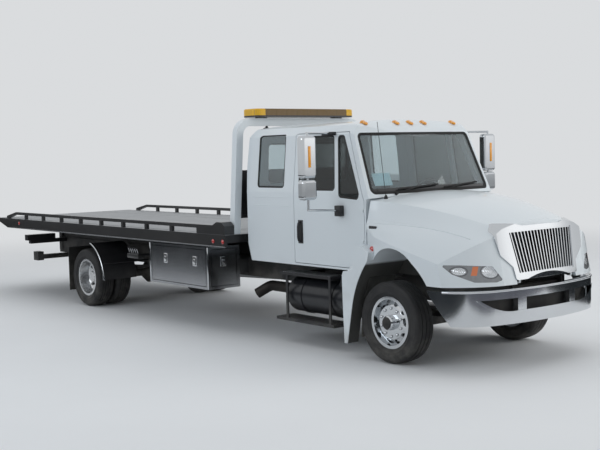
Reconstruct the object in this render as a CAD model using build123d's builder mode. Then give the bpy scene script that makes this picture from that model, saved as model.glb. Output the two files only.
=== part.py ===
from build123d import *
import os
from math import cos, radians, sin, sqrt

os.makedirs("parts", exist_ok=True)

# Rollback tow truck, millimetres. +X ahead, +Y to the driver's left, +Z up, ground at Z = 0.
# Lengths along the truck are stations: distances ahead of the front axle, negative behind it.

# Driving dimensions of the whole truck
bumper_ahead = 1200.0
wheelbase = 6160.0
tail_station = -9140.0
bed_half_width = 1230.0
deck_top = 1196.0
bed_side_bottom = 1045.0
running_gap = 5.0
seat_gap = 0.3

# Wheels and tyres
tyre_radius = 417.0
tyre_width = 245.0
rim_radius = 265.0
rim_seat_radius = 246.0
rim_wall = 12.0
rim_half_width = 100.0
front_tyre_y = 920.0
outer_dual_y = 1067.0
dual_spacing = 280.0
hand_hole_count = 10
hub_radius = 98.0
drum_radius = 195.0

# Chassis
rail_top = 855.0
rail_height = 255.0
rail_outer_y = 432.0
rail_flange = 80.0
rail_plate = 8.0
rail_front_station = 1040.0
rail_rear_station = -8520.0
kingpin_y = 790.0
kingpin_radius = 22.0
steer_axle_z = 417.0
spring_leaf_width = 76.0

# Cab
cab_half_width = 945.0
cab_header_half_width = 885.0
cab_roof_half = 790.0
cab_bottom = 890.0
cab_waist = 1700.0
cab_roof_side = 2405.0
cab_roof_crown = 2485.0
cab_rear_station = -2500.0
firewall_station = -400.0
cab_wall = 55.0
glass_inset = 12.0
glass_thickness = 6.0
door_gap = 7.0
screen_base = (-262.0, 1672.0)
screen_top = (-555.0, 2343.0)

# Hood
hood_skin = 30.0
hood_bottom = 845.0
hood_hinge = (1130.0, 872.0)
bay_half_width = 505.0

# Bed and its carriage
tilt_hinge = (-8450.0, 905.0)
tilt_frame_front = -2620.0
tilt_rail_outer_y = 410.0
tilt_rail_width = 80.0
bed_front_station = -2530.0
post_pitch = 618.0
post_count = 9
last_post_station = -8066.0
rail_top_z = 1305.0
hoop_station = -2610.0
hoop_foot_half = 1080.0
hoop_top_half = 985.0
hoop_top = 2568.0
hoop_tube = 92.0
hoop_bend = 205.0

front_axle_x = (bumper_ahead - tail_station) / 2 - bumper_ahead
rear_axle_station = -wheelbase


def at(station):
    """World X of a station."""
    return front_axle_x + station


def side_plane(y=0.0):
    """Sketch plane at width y, drawn as (station, height), facing the truck's right."""
    return Plane(origin=(front_axle_x, y, 0), x_dir=(1, 0, 0), z_dir=(0, -1, 0))


def cross_plane(station):
    """Sketch plane across the truck at a station, drawn as (width, height), facing ahead."""
    return Plane(origin=(at(station), 0, 0), x_dir=(0, 1, 0), z_dir=(1, 0, 0))


def level_plane(height):
    """Sketch plane at a height, drawn as (station, width), facing up."""
    return Plane(origin=(front_axle_x, 0, height), x_dir=(1, 0, 0), z_dir=(0, 0, 1))


def outline(points, radius=0.0):
    """Closed face through points in the sketch in hand, every corner rounded to radius."""
    with BuildLine() as edge:
        if radius:
            FilletPolyline(*points, radius=radius, close=True)
        else:
            Polyline(*points, close=True)
    make_face(edge.edges())


def rectangle(low, high, radius=0.0):
    """Closed rectangle between two opposite corners in the sketch in hand."""
    outline([low, (high[0], low[1]), high, (low[0], high[1])], radius)


def on_side(side, near, far):
    """Two widths on one side of the truck, the lower first."""
    return tuple(sorted((side * near, side * far)))


def block(stations, widths, heights, mode=Mode.ADD):
    """Plain bar between two stations, two widths and two heights in the part in hand."""
    with BuildSketch(level_plane(heights[0])) as base:
        rectangle((stations[0], widths[0]), (stations[1], widths[1]))
    extrude(base.sketch, amount=heights[1] - heights[0], mode=mode)


def rod(start, end, radius, mode=Mode.ADD):
    """Round bar between two points given as (station, width, height)."""
    first = Vector(at(start[0]), start[1], start[2])
    last = Vector(at(end[0]), end[1], end[2])
    with BuildSketch(Plane(origin=first, z_dir=last - first)) as base:
        Circle(radius)
    extrude(base.sketch, amount=(last - first).length, mode=mode)


def cross_rod(station, half_width, height, radius, mode=Mode.ADD):
    """Round bar straight across the truck, as far to the right as to the left."""
    rod((station, -half_width, height), (station, half_width, height), radius, mode)


def keep(piece, name):
    """Label a finished piece and write it as one STEP file."""
    piece.part.label = name
    export_step(piece.part, f"parts/{name}.step")


def keep_pair(right_piece, name):
    """Write a right-hand piece and its mirror image on the truck's left."""
    keep(right_piece, f"{name}_right")
    with BuildPart() as left_piece:
        mirror(right_piece.part, about=Plane.XZ)
    keep(left_piece, f"{name}_left")


# Tyres: one section turned about the axle line of its wheel
flange_width = 9.0
bead_half_width = rim_half_width - flange_width - seat_gap
tyre_section = [
    (-bead_half_width, rim_seat_radius + seat_gap),
    (-bead_half_width, rim_radius + seat_gap),
    (-rim_half_width, rim_radius + 6),
    (-0.49 * tyre_width, 0.73 * tyre_radius),
    (-0.50 * tyre_width, 0.84 * tyre_radius),
    (-0.47 * tyre_width, 0.945 * tyre_radius),
    (-0.38 * tyre_width, 0.992 * tyre_radius),
    (0.0, tyre_radius),
]


def tyre(station, width_y):
    """Tyre centred at a width, its round section drawn on both sides of the middle."""
    left_half = [(width_y + out, tyre_radius + r) for out, r in tyre_section]
    right_half = [(2 * width_y - y, z) for y, z in reversed(left_half[:-1])]
    with BuildSketch(cross_plane(station)) as section:
        outline(left_half + right_half)
    revolve(section.sketch, axis=Axis((at(station), 0, tyre_radius), (0, 1, 0)))


def wheel_disc(station, profile):
    """Turn a wheel profile given as (width, radius) about its axle line."""
    with BuildSketch(cross_plane(station)) as section:
        outline([(y, tyre_radius + r) for y, r in profile])
    revolve(section.sketch, axis=Axis((at(station), 0, tyre_radius), (0, 1, 0)))


def rim_barrel(station, centre_y):
    """Rim barrel with a flange at each edge."""
    inner = rim_seat_radius - rim_wall
    lip = flange_width
    edge = rim_half_width
    wheel_disc(
        station,
        [
            (centre_y - edge, rim_radius), (centre_y - edge + lip, rim_radius),
            (centre_y - edge + lip, rim_seat_radius), (centre_y + edge - lip, rim_seat_radius),
            (centre_y + edge - lip, rim_radius), (centre_y + edge, rim_radius),
            (centre_y + edge, inner), (centre_y - edge, inner),
        ],
    )


def hand_holes(station, centre_y, pitch_radius, hole_radius, depth):
    """Ring of hand holes cut through a wheel disc."""
    with BuildSketch(side_plane(centre_y + depth / 2)) as holes:
        with Locations((station, tyre_radius)):
            with PolarLocations(pitch_radius, hand_hole_count):
                Circle(hole_radius)
    extrude(holes.sketch, amount=depth, mode=Mode.SUBTRACT)


disc_thickness = 14.0
bolt_face_radius = 165.0
spindle_radius = 36.0
boss_radius = 52.0
boss_half_height = 62.0
knuckle_web_y = kingpin_y + boss_radius + running_gap
knuckle_web = 14.0
hub_inner_y = knuckle_web_y + knuckle_web + running_gap

with BuildPart() as front_tyre:
    tyre(0, -front_tyre_y)
keep_pair(front_tyre, "front_tyre")

with BuildPart() as front_rim:
    face_y = -(front_tyre_y + 78)
    root_y = -(front_tyre_y + 30)
    rim_barrel(0, -front_tyre_y)
    wheel_disc(
        0,
        [
            (root_y, rim_seat_radius - rim_wall + 2),
            (root_y + disc_thickness, rim_seat_radius - rim_wall + 2),
            (face_y + disc_thickness, bolt_face_radius), (face_y + disc_thickness, spindle_radius + 1),
            (face_y, spindle_radius + 1), (face_y, bolt_face_radius + 6),
        ],
    )
    hand_holes(0, -front_tyre_y, 201, 27, 260)
    wheel_disc(
        0,
        [
            (-hub_inner_y, hub_radius), (-front_tyre_y - 128, hub_radius - 26),
            (-front_tyre_y - 140, hub_radius - 40), (-front_tyre_y - 140, 0),
            (-front_tyre_y - 110, 0), (-front_tyre_y - 110, spindle_radius + 1),
            (-hub_inner_y, spindle_radius + 1),
        ],
    )
    wheel_disc(
        0,
        [
            (-front_tyre_y - 40, drum_radius), (-front_tyre_y + 75, drum_radius),
            (-front_tyre_y + 75, drum_radius - 14), (-front_tyre_y - 26, drum_radius - 14),
            (-front_tyre_y - 26, hub_radius - 30), (-front_tyre_y - 40, hub_radius - 30),
        ],
    )
keep_pair(front_rim, "front_wheel")

dual_middle_y = outer_dual_y - dual_spacing / 2
with BuildPart() as rear_tyres:
    tyre(rear_axle_station, -outer_dual_y)
    tyre(rear_axle_station, dual_spacing - outer_dual_y)
keep_pair(rear_tyres, "rear_tyres")

with BuildPart() as rear_rims:
    for tyre_y, toward in ((-outer_dual_y, 1), (dual_spacing - outer_dual_y, -1)):
        rim_barrel(rear_axle_station, tyre_y)
        root_y = tyre_y + toward * 58
        face_y = -dual_middle_y - toward * disc_thickness
        wheel_disc(
            rear_axle_station,
            [
                (root_y, rim_seat_radius - rim_wall + 2),
                (root_y - toward * disc_thickness, rim_seat_radius - rim_wall + 2),
                (face_y, bolt_face_radius + 6), (face_y, spindle_radius + 12),
                (-dual_middle_y, spindle_radius + 12), (-dual_middle_y, bolt_face_radius),
            ],
        )
    hand_holes(rear_axle_station, -dual_middle_y, 201, 27, 170)
    wheel_disc(
        rear_axle_station,
        [
            (-dual_middle_y + 60, hub_radius + 6), (-dual_middle_y - 60, hub_radius),
            (-dual_middle_y - 150, hub_radius - 14), (-dual_middle_y - 168, hub_radius - 24),
            (-dual_middle_y - 168, 0), (-dual_middle_y - 120, 0),
            (-dual_middle_y - 120, spindle_radius + 11), (-dual_middle_y + 60, spindle_radius + 11),
        ],
    )
    wheel_disc(
        rear_axle_station,
        [
            (-dual_middle_y + 14, drum_radius), (-dual_middle_y + 190, drum_radius),
            (-dual_middle_y + 190, drum_radius - 16), (-dual_middle_y + 28, drum_radius - 16),
            (-dual_middle_y + 28, hub_radius - 10), (-dual_middle_y + 14, hub_radius - 10),
        ],
    )
keep_pair(rear_rims, "rear_wheels")

# Front axle: drop beam between two upright kingpin bosses
with BuildPart() as front_axle:
    with BuildSketch(cross_plane(0).offset(-40)) as beam:
        outline(
            [
                (-kingpin_y, 440), (-kingpin_y, 360), (-640, 352), (-520, 330), (520, 330),
                (640, 352), (kingpin_y, 360), (kingpin_y, 440), (560, 420), (-560, 420),
            ]
        )
    extrude(beam.sketch, amount=80)
    for side in (-1, 1):
        rod((0, side * kingpin_y, steer_axle_z - boss_half_height),
            (0, side * kingpin_y, steer_axle_z + boss_half_height), boss_radius)
    for side in (-1, 1):
        rod((0, side * kingpin_y, steer_axle_z - 100),
            (0, side * kingpin_y, steer_axle_z + 100), kingpin_radius + 0.4, Mode.SUBTRACT)
keep(front_axle, "front_axle")

# Steering knuckle: yoke above and below the boss, kingpin through it, spindle outward
with BuildPart() as knuckle:
    yoke_low = steer_axle_z - boss_half_height - seat_gap
    yoke_high = steer_axle_z + boss_half_height + seat_gap
    rod((0, -kingpin_y, yoke_low - 32), (0, -kingpin_y, yoke_low), 46)
    rod((0, -kingpin_y, yoke_high), (0, -kingpin_y, yoke_high + 32), 46)
    rod((0, -kingpin_y, yoke_low - 32), (0, -kingpin_y, yoke_high + 32), kingpin_radius)
    web_y = -knuckle_web_y
    block((-34, 34), (web_y - knuckle_web, web_y), (yoke_low - 32, yoke_high + 32))
    for low, high in ((yoke_low - 32, yoke_low), (yoke_high, yoke_high + 32)):
        block((-34, 34), (web_y - 1, -kingpin_y), (low, high))
    rod((0, web_y, tyre_radius), (0, -front_tyre_y - 104, tyre_radius), spindle_radius)
    block((-210, 0), (-kingpin_y - 14, -kingpin_y + 14), (yoke_low - 32, yoke_low - 8))
keep_pair(knuckle, "knuckle")

# Rear axle: banjo housing with a tube to each hub
with BuildPart() as rear_axle:
    with BuildSketch(cross_plane(rear_axle_station)) as housing:
        outline(
            [
                (-dual_middle_y - 112, tyre_radius), (-dual_middle_y - 112, tyre_radius + 46),
                (-dual_middle_y + 64, tyre_radius + 46), (-dual_middle_y + 64, tyre_radius + 62),
                (-260, tyre_radius + 62), (-150, tyre_radius + 165), (150, tyre_radius + 165),
                (260, tyre_radius + 62), (dual_middle_y - 64, tyre_radius + 62),
                (dual_middle_y - 64, tyre_radius + 46), (dual_middle_y + 112, tyre_radius + 46),
                (dual_middle_y + 112, tyre_radius),
            ]
        )
    revolve(housing.sketch, axis=Axis((at(rear_axle_station), 0, tyre_radius), (0, 1, 0)))
keep(rear_axle, "rear_axle")

# Leaf springs: one arched pack at each wheel, hung from the rails at both ends
front_spring_y = 392.0
rear_spring_y = 500.0


def spring_pack(station, centre_y, seat_z, half_span, rise, thickness):
    """Arched leaf pack: low on the axle, its ends rising to their hangers."""
    with BuildSketch(side_plane(centre_y + spring_leaf_width / 2)) as leaf:
        with BuildLine():
            ThreePointArc(
                (station - half_span, seat_z + rise), (station, seat_z), (station + half_span, seat_z + rise)
            )
            Line((station + half_span, seat_z + rise), (station + half_span, seat_z + rise + 14))
            ThreePointArc(
                (station + half_span, seat_z + rise + 14), (station, seat_z + thickness),
                (station - half_span, seat_z + rise + 14),
            )
            Line((station - half_span, seat_z + rise + 14), (station - half_span, seat_z + rise))
        make_face()
    extrude(leaf.sketch, amount=spring_leaf_width)


rail_bottom = rail_top - rail_height
with BuildPart() as leaf_springs:
    for side in (-1, 1):
        spring_pack(0, side * front_spring_y, 420 + seat_gap, 620, 120, 60)
        for end in (-600, 600):
            block((end - 20, end + 20), (side * front_spring_y - 30, side * front_spring_y + 30),
                  (545, rail_bottom - seat_gap))
        spring_pack(rear_axle_station, side * rear_spring_y, tyre_radius + 62 + seat_gap, 700, 110, 75)
        widths = on_side(side, rail_outer_y + seat_gap, rear_spring_y + 38)
        for end in (-690, 690):
            block((rear_axle_station + end - 30, rear_axle_station + end + 30), widths, (592, 660))
keep(leaf_springs, "leaf_springs")


# Cab: one closed form, drawn three ways and kept where the three agree, at any inset
screen_run = Vector(screen_top[0] - screen_base[0], 0, screen_top[1] - screen_base[1]).normalized()
screen_side_drop = 95.0
screen_plane = Plane(
    origin=(at(screen_base[0]), 0, screen_base[1]), x_dir=(screen_run.Z, 0, -screen_run.X), z_dir=screen_run
)


def cab_front_face(inset):
    """Cab section seen from ahead, drawn in by inset, in the sketch in hand."""
    with BuildLine() as edge:
        Polyline(
            (-cab_roof_half, cab_roof_side + 20), (-cab_header_half_width, 2330),
            (-cab_half_width, cab_waist), (-cab_half_width, cab_bottom - 100),
            (cab_half_width, cab_bottom - 100), (cab_half_width, cab_waist),
            (cab_header_half_width, 2330), (cab_roof_half, cab_roof_side + 20),
        )
        ThreePointArc(
            (cab_roof_half, cab_roof_side + 20), (0, cab_roof_crown), (-cab_roof_half, cab_roof_side + 20)
        )
    make_face(edge.edges())
    if inset:
        offset(amount=-inset, kind=Kind.INTERSECTION)


def cab_volume(inset):
    """Closed outer form of the cab, drawn in by inset on every face."""
    with BuildPart() as volume:
        with BuildSketch(side_plane(cab_half_width + 60)) as side_view:
            with BuildLine():
                Polyline(
                    (firewall_station, cab_bottom), (firewall_station, 1640), screen_base,
                    (screen_top[0] + 20, screen_top[1] - 46),
                )
                ThreePointArc(
                    (screen_top[0] + 20, screen_top[1] - 46), (-690, 2436), (-1000, 2470)
                )
                ThreePointArc((-1000, 2470), (-1500, cab_roof_crown), (-2330, 2462))
                ThreePointArc((-2330, 2462), (-2425, 2425), (-2462, 2340))
                Polyline(
                    (-2462, 2340), (cab_rear_station, 1760), (cab_rear_station, 1190),
                    (cab_rear_station + 95, cab_bottom), (firewall_station, cab_bottom),
                )
            make_face()
            if inset:
                offset(amount=-inset, kind=Kind.INTERSECTION)
        extrude(side_view.sketch, amount=2 * cab_half_width + 120)
        with BuildSketch(cross_plane(-4000)) as front_view:
            cab_front_face(inset)
        extrude(front_view.sketch, amount=6000, mode=Mode.INTERSECT)
        with BuildSketch(level_plane(600)) as top_view:
            rectangle((cab_rear_station + inset, -cab_half_width - 50), (800, cab_half_width + 50))
            corners = top_view.vertices().group_by(Axis.X)[0]
            fillet(corners, 140 - inset)
        extrude(top_view.sketch, amount=2400, mode=Mode.INTERSECT)
        with BuildSketch(screen_plane) as screen_view:
            with BuildLine():
                Polyline((-screen_side_drop, cab_half_width + 40), (-4000, cab_half_width + 40),
                         (-4000, -cab_half_width - 40), (-screen_side_drop, -cab_half_width - 40))
                ThreePointArc(
                    (-screen_side_drop, -cab_half_width - 40), (0, 0),
                    (-screen_side_drop, cab_half_width + 40),
                )
            make_face()
            if inset:
                offset(amount=-inset, kind=Kind.INTERSECTION)
        extrude(screen_view.sketch, amount=2500, both=True, mode=Mode.INTERSECT)
    return volume.part


def window_prism(points, radius, side=-1):
    """Straight prism through one side wall of the cab, from an outline drawn in side view."""
    with BuildPart() as prism:
        with BuildSketch(side_plane(side * (cab_half_width + 60))) as hole:
            outline(points, radius)
        extrude(hole.sketch, amount=side * side_depth)
    return prism.part


# Window and door outlines in side view, shared by the walls and the glass that fills them
side_depth = 265.0
rear_window = [(-2268, 1748), (-1764, 1748), (-1766, 2350), (-2262, 2350)]
door_window = [(-1508, 1725), (-884, 1725), (-934, 2322), (-1508, 2322)]
vent_window = [(-824, 1655), (-520, 1634), (-500, 1700), (-772, 2318), (-880, 2318)]
window_radius = 42.0
door_outline = [
    (-420, 1124), (-420, 1618), (-700, 2352), (-1590, 2352), (-1590, 912), (-628, 912),
]
door_hinge = (-430.0, 940.0)
door_hinge_heights = (1200.0, 1520.0)
door_pin_radius = 6.0
door_pin_half = 45.0
door_radius = 28.0
screen_half_base = 905.0
screen_half_top = 845.0

cab_outer = cab_volume(0)
cab_inner = cab_volume(cab_wall)
glass_outer = cab_volume(glass_inset)
glass_inner = cab_volume(glass_inset + glass_thickness)


def shrink(points, amount):
    """The same outline drawn in by amount, for a pane or a door that fits inside it."""
    with BuildSketch(mode=Mode.PRIVATE) as sketch:
        outline(points)
        offset(amount=-amount, kind=Kind.INTERSECTION)
    wire = sketch.sketch.faces()[0].outer_wire()
    return [tuple(edge.start_point())[:2] for edge in wire.order_edges()]


def screen_prism(grow):
    """Prism through the windshield, seen from ahead, grown by grow on each side."""
    with BuildPart() as prism:
        with BuildSketch(cross_plane(-700)) as hole:
            outline(
                [
                    (-screen_half_base - grow, 1690 - grow), (screen_half_base + grow, 1690 - grow),
                    (screen_half_top + grow, 2335 + grow), (-screen_half_top - grow, 2335 + grow),
                ],
                60,
            )
        extrude(hole.sketch, amount=900)
    return prism.part


def back_prism(grow):
    """Prism through the back window of the cab."""
    with BuildPart() as prism:
        with BuildSketch(cross_plane(cab_rear_station - 60)) as hole:
            rectangle((-640 - grow, 1780 - grow), (640 + grow, 2260 + grow), 60)
        extrude(hole.sketch, amount=300)
    return prism.part


def side_skin(depth):
    """Everything inside the cab's side walls, seen from ahead, for cutting a door of one skin."""
    with BuildPart() as core:
        with BuildSketch(cross_plane(-4000)) as section:
            cab_front_face(depth)
        extrude(section.sketch, amount=6000)
    return core.part


def door_opening(side):
    """Prism of one door opening, no deeper than the side wall and its running gap."""
    with BuildPart() as opening:
        add(window_prism(door_outline, door_radius, side))
        add(side_skin(cab_wall + running_gap), mode=Mode.SUBTRACT)
    return opening.part


with BuildPart() as cab_shell:
    add(cab_outer)
    add(screen_prism(0), mode=Mode.SUBTRACT)
    add(back_prism(0), mode=Mode.SUBTRACT)
    add(cab_inner, mode=Mode.SUBTRACT)
    for side in (-1, 1):
        add(door_opening(side), mode=Mode.SUBTRACT)
        add(window_prism(rear_window, window_radius, side), mode=Mode.SUBTRACT)
    for side in (-1, 1):
        leaf_y = sorted((side * (door_hinge[1] - 10), side * (door_hinge[1] + 4)))
        for height in door_hinge_heights:
            leaf = (door_hinge[0] - door_pin_radius, door_outline[0][0] + 1)
            block(leaf, leaf_y, (height - 8, height + 8))
            rod((door_hinge[0], side * door_hinge[1], height - door_pin_half),
                (door_hinge[0], side * door_hinge[1], height + door_pin_half), door_pin_radius)
keep(cab_shell, "cab_shell")

with BuildPart() as door:
    add(window_prism(shrink(door_outline, door_gap), door_radius))
    add(cab_outer, mode=Mode.INTERSECT)
    add(side_skin(cab_wall), mode=Mode.SUBTRACT)
    for opening in (door_window, vent_window):
        add(window_prism(opening, window_radius), mode=Mode.SUBTRACT)
    for height in door_hinge_heights:
        block((door_hinge[0] - 16, door_outline[0][0]), (-door_hinge[1] - 20, -door_hinge[1] + 20),
              (height - 14, height + 14), Mode.SUBTRACT)
        rod((door_hinge[0], -door_hinge[1], height - door_pin_half - 1),
            (door_hinge[0], -door_hinge[1], height + door_pin_half + 1), door_pin_radius + 0.4, Mode.SUBTRACT)
keep_pair(door, "door")

with BuildPart() as door_glass:
    for opening in (door_window, vent_window):
        add(window_prism(shrink(opening, seat_gap), window_radius))
    add(glass_outer, mode=Mode.INTERSECT)
    add(glass_inner, mode=Mode.SUBTRACT)
keep_pair(door_glass, "door_glass")

with BuildPart() as cab_glass:
    for side in (-1, 1):
        add(window_prism(shrink(rear_window, seat_gap), window_radius, side))
    add(screen_prism(-seat_gap))
    add(back_prism(-seat_gap))
    add(glass_outer, mode=Mode.INTERSECT)
    add(glass_inner, mode=Mode.SUBTRACT)
keep(cab_glass, "cab_glass")

# Hood: sections from the cowl to the nose, loft by loft, then trimmed to the nose in plan
hood_sections = [
    # station, side y, side z, crease y, crease z, shoulder y, shoulder z, top z
    (-368, 962, 1300, 952, 1440, 905, 1630, 1698),
    (90, 1100, 1220, 925, 1410, 800, 1585, 1690),
    (600, 1115, 1100, 850, 1352, 665, 1490, 1600),
    (1180, 1115, 960, 700, 1225, 520, 1318, 1385),
]
nose_lean = Vector(-84, 0, 433).normalized()
nose_plane = Plane(
    origin=(at(1128), 0, 1140), x_dir=(nose_lean.Z, 0, -nose_lean.X), z_dir=nose_lean
)
nose_plan = [
    # distance back from the nose plane's origin, half width
    (-520.0, 1180.0),
    (-190.0, 935.0),
    (-38.0, 620.0),
    (0.0, 0.0),
]
crease_bulge = 14.0
grille_top_half = 493.0
grille_bottom_half = 428.0
grille_half_height = 221.0
grille_frame = 26.0
grille_bar_count = 20
grille_bar = 11.0
grille_depth = 46.0
surround_rise = 12.0
surround_outline = [
    # width, height up the leaning nose, right half from the bottom to the top
    (-462.0, -262.0), (-482.0, -133.0), (-621.0, -12.0), (-656.0, 150.0), (-640.0, 235.0),
    (-560.0, 308.0), (-442.0, 290.0), (-278.0, 250.0),
]
nose_notch = ((1000.0, 1300.0), 452.0, 884.0)
grille_plane = Plane(origin=(at(1115), 0, 1140), x_dir=(0, 1, 0), z_dir=(nose_lean.Z, 0, -nose_lean.X))
grille_corners = [
    (-grille_bottom_half, -grille_half_height), (grille_bottom_half, -grille_half_height),
    (grille_top_half, grille_half_height), (-grille_top_half, grille_half_height),
]


def hood_volume(inset, open_by=0.0):
    """Closed outer form of the hood and fenders, drawn in by inset, its rear and foot opened up."""
    with BuildPart() as volume:
        for index, row in enumerate(hood_sections):
            station, side_y, side_z, crease_y, crease_z, top_y, top_z, crown_z = row
            place = station - open_by if index == 0 else station
            foot = hood_bottom - open_by
            side_y -= inset
            crease_y -= inset
            crease_z -= inset
            top_y -= inset
            top_z -= inset
            bulge_z = (side_z + crease_z) / 2 + crease_bulge
            with BuildSketch(cross_plane(place)):
                with BuildLine():
                    for side in (1, -1):
                        Line((side * side_y, foot), (side * side_y, side_z))
                        ThreePointArc(
                            (side * side_y, side_z),
                            (side * ((side_y + crease_y) / 2 + crease_bulge), bulge_z),
                            (side * crease_y, crease_z),
                        )
                        Line((side * crease_y, crease_z), (side * top_y, top_z))
                    ThreePointArc((top_y, top_z), (0, crown_z - inset), (-top_y, top_z))
                    Line((-side_y, foot), (side_y, foot))
                make_face()
        loft()
        with BuildSketch(nose_plane) as nose:
            tail, corner, edge, middle = [(back - inset, half - inset) for back, half in nose_plan]
            middle = (middle[0], 0)
            with BuildLine():
                Polyline(tail, (-2400, tail[1]), (-2400, -tail[1]), (tail[0], -tail[1]))
                ThreePointArc((tail[0], -tail[1]), (corner[0], -corner[1]), (edge[0], -edge[1]))
                ThreePointArc((edge[0], -edge[1]), middle, edge)
                ThreePointArc(edge, corner, tail)
            make_face()
        extrude(nose.sketch, amount=1600, both=True, mode=Mode.INTERSECT)
    return volume.part


def arch_face(grow=0.0):
    """Wheel arch opening in side view, straight at the rear and round over the tyre."""
    with BuildLine() as edge:
        Polyline((690, 690), (690, 0), (-562, 0), (-548, 135), (-470, 520))
        ThreePointArc((-470, 520), (-366, 820), (-205, 1048))
        ThreePointArc((-205, 1048), (85, 1178), (420, 1048))
        ThreePointArc((420, 1048), (590, 880), (690, 690))
    make_face(edge.edges())
    if grow:
        offset(amount=grow, kind=Kind.INTERSECTION)


headlight_outline = [
    (-226, 56), (-50, 54), (262, 34), (362, -100), (300, -118), (90, -110), (-120, -30),
]
headlight_plane = Plane(
    origin=(at(930), -930, 1000), x_dir=(0.7071, 0.7071, 0), z_dir=(0.7071, -0.7071, 0)
)
headlight_depth = 110.0
inner_wall_y = 540.0
cowl_gap = 8.0
flare_y = (955.0, 1108.0)
hinge_pin_radius = 12.0
hood_lug_y = (386.0, 406.0)
hood_plate_y = (364.0, 384.0)
hood_plate_radius = 18.0
door_sweep = [(-430, 1112), (-620, 902), (-1500, 902), (-1500, 1850), (-430, 1850)]
door_sweep_angle = 84.0


def engine_bay():
    """Hollow of the hood between its two inner walls."""
    with BuildPart() as bay:
        add(hood_volume(hood_skin, 120))
        block((-900, 1400), (-bay_half_width, bay_half_width), (0, 2000), Mode.INTERSECT)
    return bay.part


def grille_pocket():
    """Seat of the grille through the nose."""
    with BuildPart() as pocket:
        with BuildSketch(grille_plane.offset(120)) as seat:
            outline(grille_corners, 18)
            offset(amount=seat_gap)
        extrude(seat.sketch, amount=-200)
    return pocket.part


def headlight_pocket(side):
    """Seat of one headlight, drawn for the right and mirrored for the left."""
    with BuildPart() as pocket:
        with BuildSketch(headlight_plane.offset(-headlight_depth)) as seat:
            outline(headlight_outline, 12)
        extrude(seat.sketch, amount=600)
        if side > 0:
            mirror(about=Plane.XZ, mode=Mode.REPLACE)
    return pocket.part


def door_path(side):
    """Space one door's lower front corner swings through, kept clear of the fender's rear."""
    with BuildPart() as path:
        with BuildSketch(side_plane(-door_hinge[1])) as leaf:
            outline(door_sweep)
        revolve(leaf.sketch, axis=Axis((at(door_hinge[0]), -door_hinge[1], 0), (0, 0, 1)),
                revolution_arc=door_sweep_angle)
        if side > 0:
            mirror(about=Plane.XZ, mode=Mode.REPLACE)
    return path.part


with BuildPart() as hood:
    add(hood_volume(0))
    add(cab_volume(-cowl_gap), mode=Mode.SUBTRACT)
    add(engine_bay(), mode=Mode.SUBTRACT)
    for side in (1, -1):
        with BuildSketch(side_plane(-side * inner_wall_y)) as arch:
            arch_face()
        extrude(arch.sketch, amount=side * 700, mode=Mode.SUBTRACT)
    for side in (1, -1):
        with BuildSketch(side_plane(-side * flare_y[0])) as flare:
            outline(
                [
                    (-368, 1176), (-412, 1128), (-560, 965), (-612, 860), (-604, 500), (-590, 150),
                    (-400, 150), (-200, 1120), (-300, 1176),
                ]
            )
        extrude(flare.sketch, amount=side * (flare_y[1] - flare_y[0]))
        with BuildSketch(side_plane(-side * (inner_wall_y + 60))) as arch_again:
            arch_face()
        extrude(arch_again.sketch, amount=side * 700, mode=Mode.SUBTRACT)
    add(grille_pocket(), mode=Mode.SUBTRACT)
    block(nose_notch[0], (-nose_notch[1], nose_notch[1]), (hood_bottom - 1, nose_notch[2]), Mode.SUBTRACT)
    for side in (-1, 1):
        add(headlight_pocket(side), mode=Mode.SUBTRACT)
        add(door_path(side), mode=Mode.SUBTRACT)
        lug_low, lug_high = sorted((side * hood_lug_y[0], side * hood_lug_y[1]))
        with BuildSketch(side_plane(lug_high)) as lug:
            outline([(1080, 905), (1100, 850), (1148, 850), (1148, 905)], 8)
        extrude(lug.sketch, amount=lug_high - lug_low)
        rod((hood_hinge[0], lug_low - 1, hood_hinge[1]), (hood_hinge[0], lug_high + 1, hood_hinge[1]),
            hinge_pin_radius + 0.5, Mode.SUBTRACT)
        rod((hood_hinge[0], side * (hood_plate_y[0] - 6), hood_hinge[1]),
            (hood_hinge[0], side * hood_lug_y[0], hood_hinge[1]), hood_plate_radius + 7, Mode.SUBTRACT)
keep(hood, "hood")

with BuildPart() as headlights:
    with BuildSketch(headlight_plane.offset(seat_gap - headlight_depth)) as lens:
        outline(shrink(headlight_outline, seat_gap), 12)
    extrude(lens.sketch, amount=400)
    add(hood_volume(4), mode=Mode.INTERSECT)
    mirror(about=Plane.XZ)
keep(headlights, "headlights")

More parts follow.
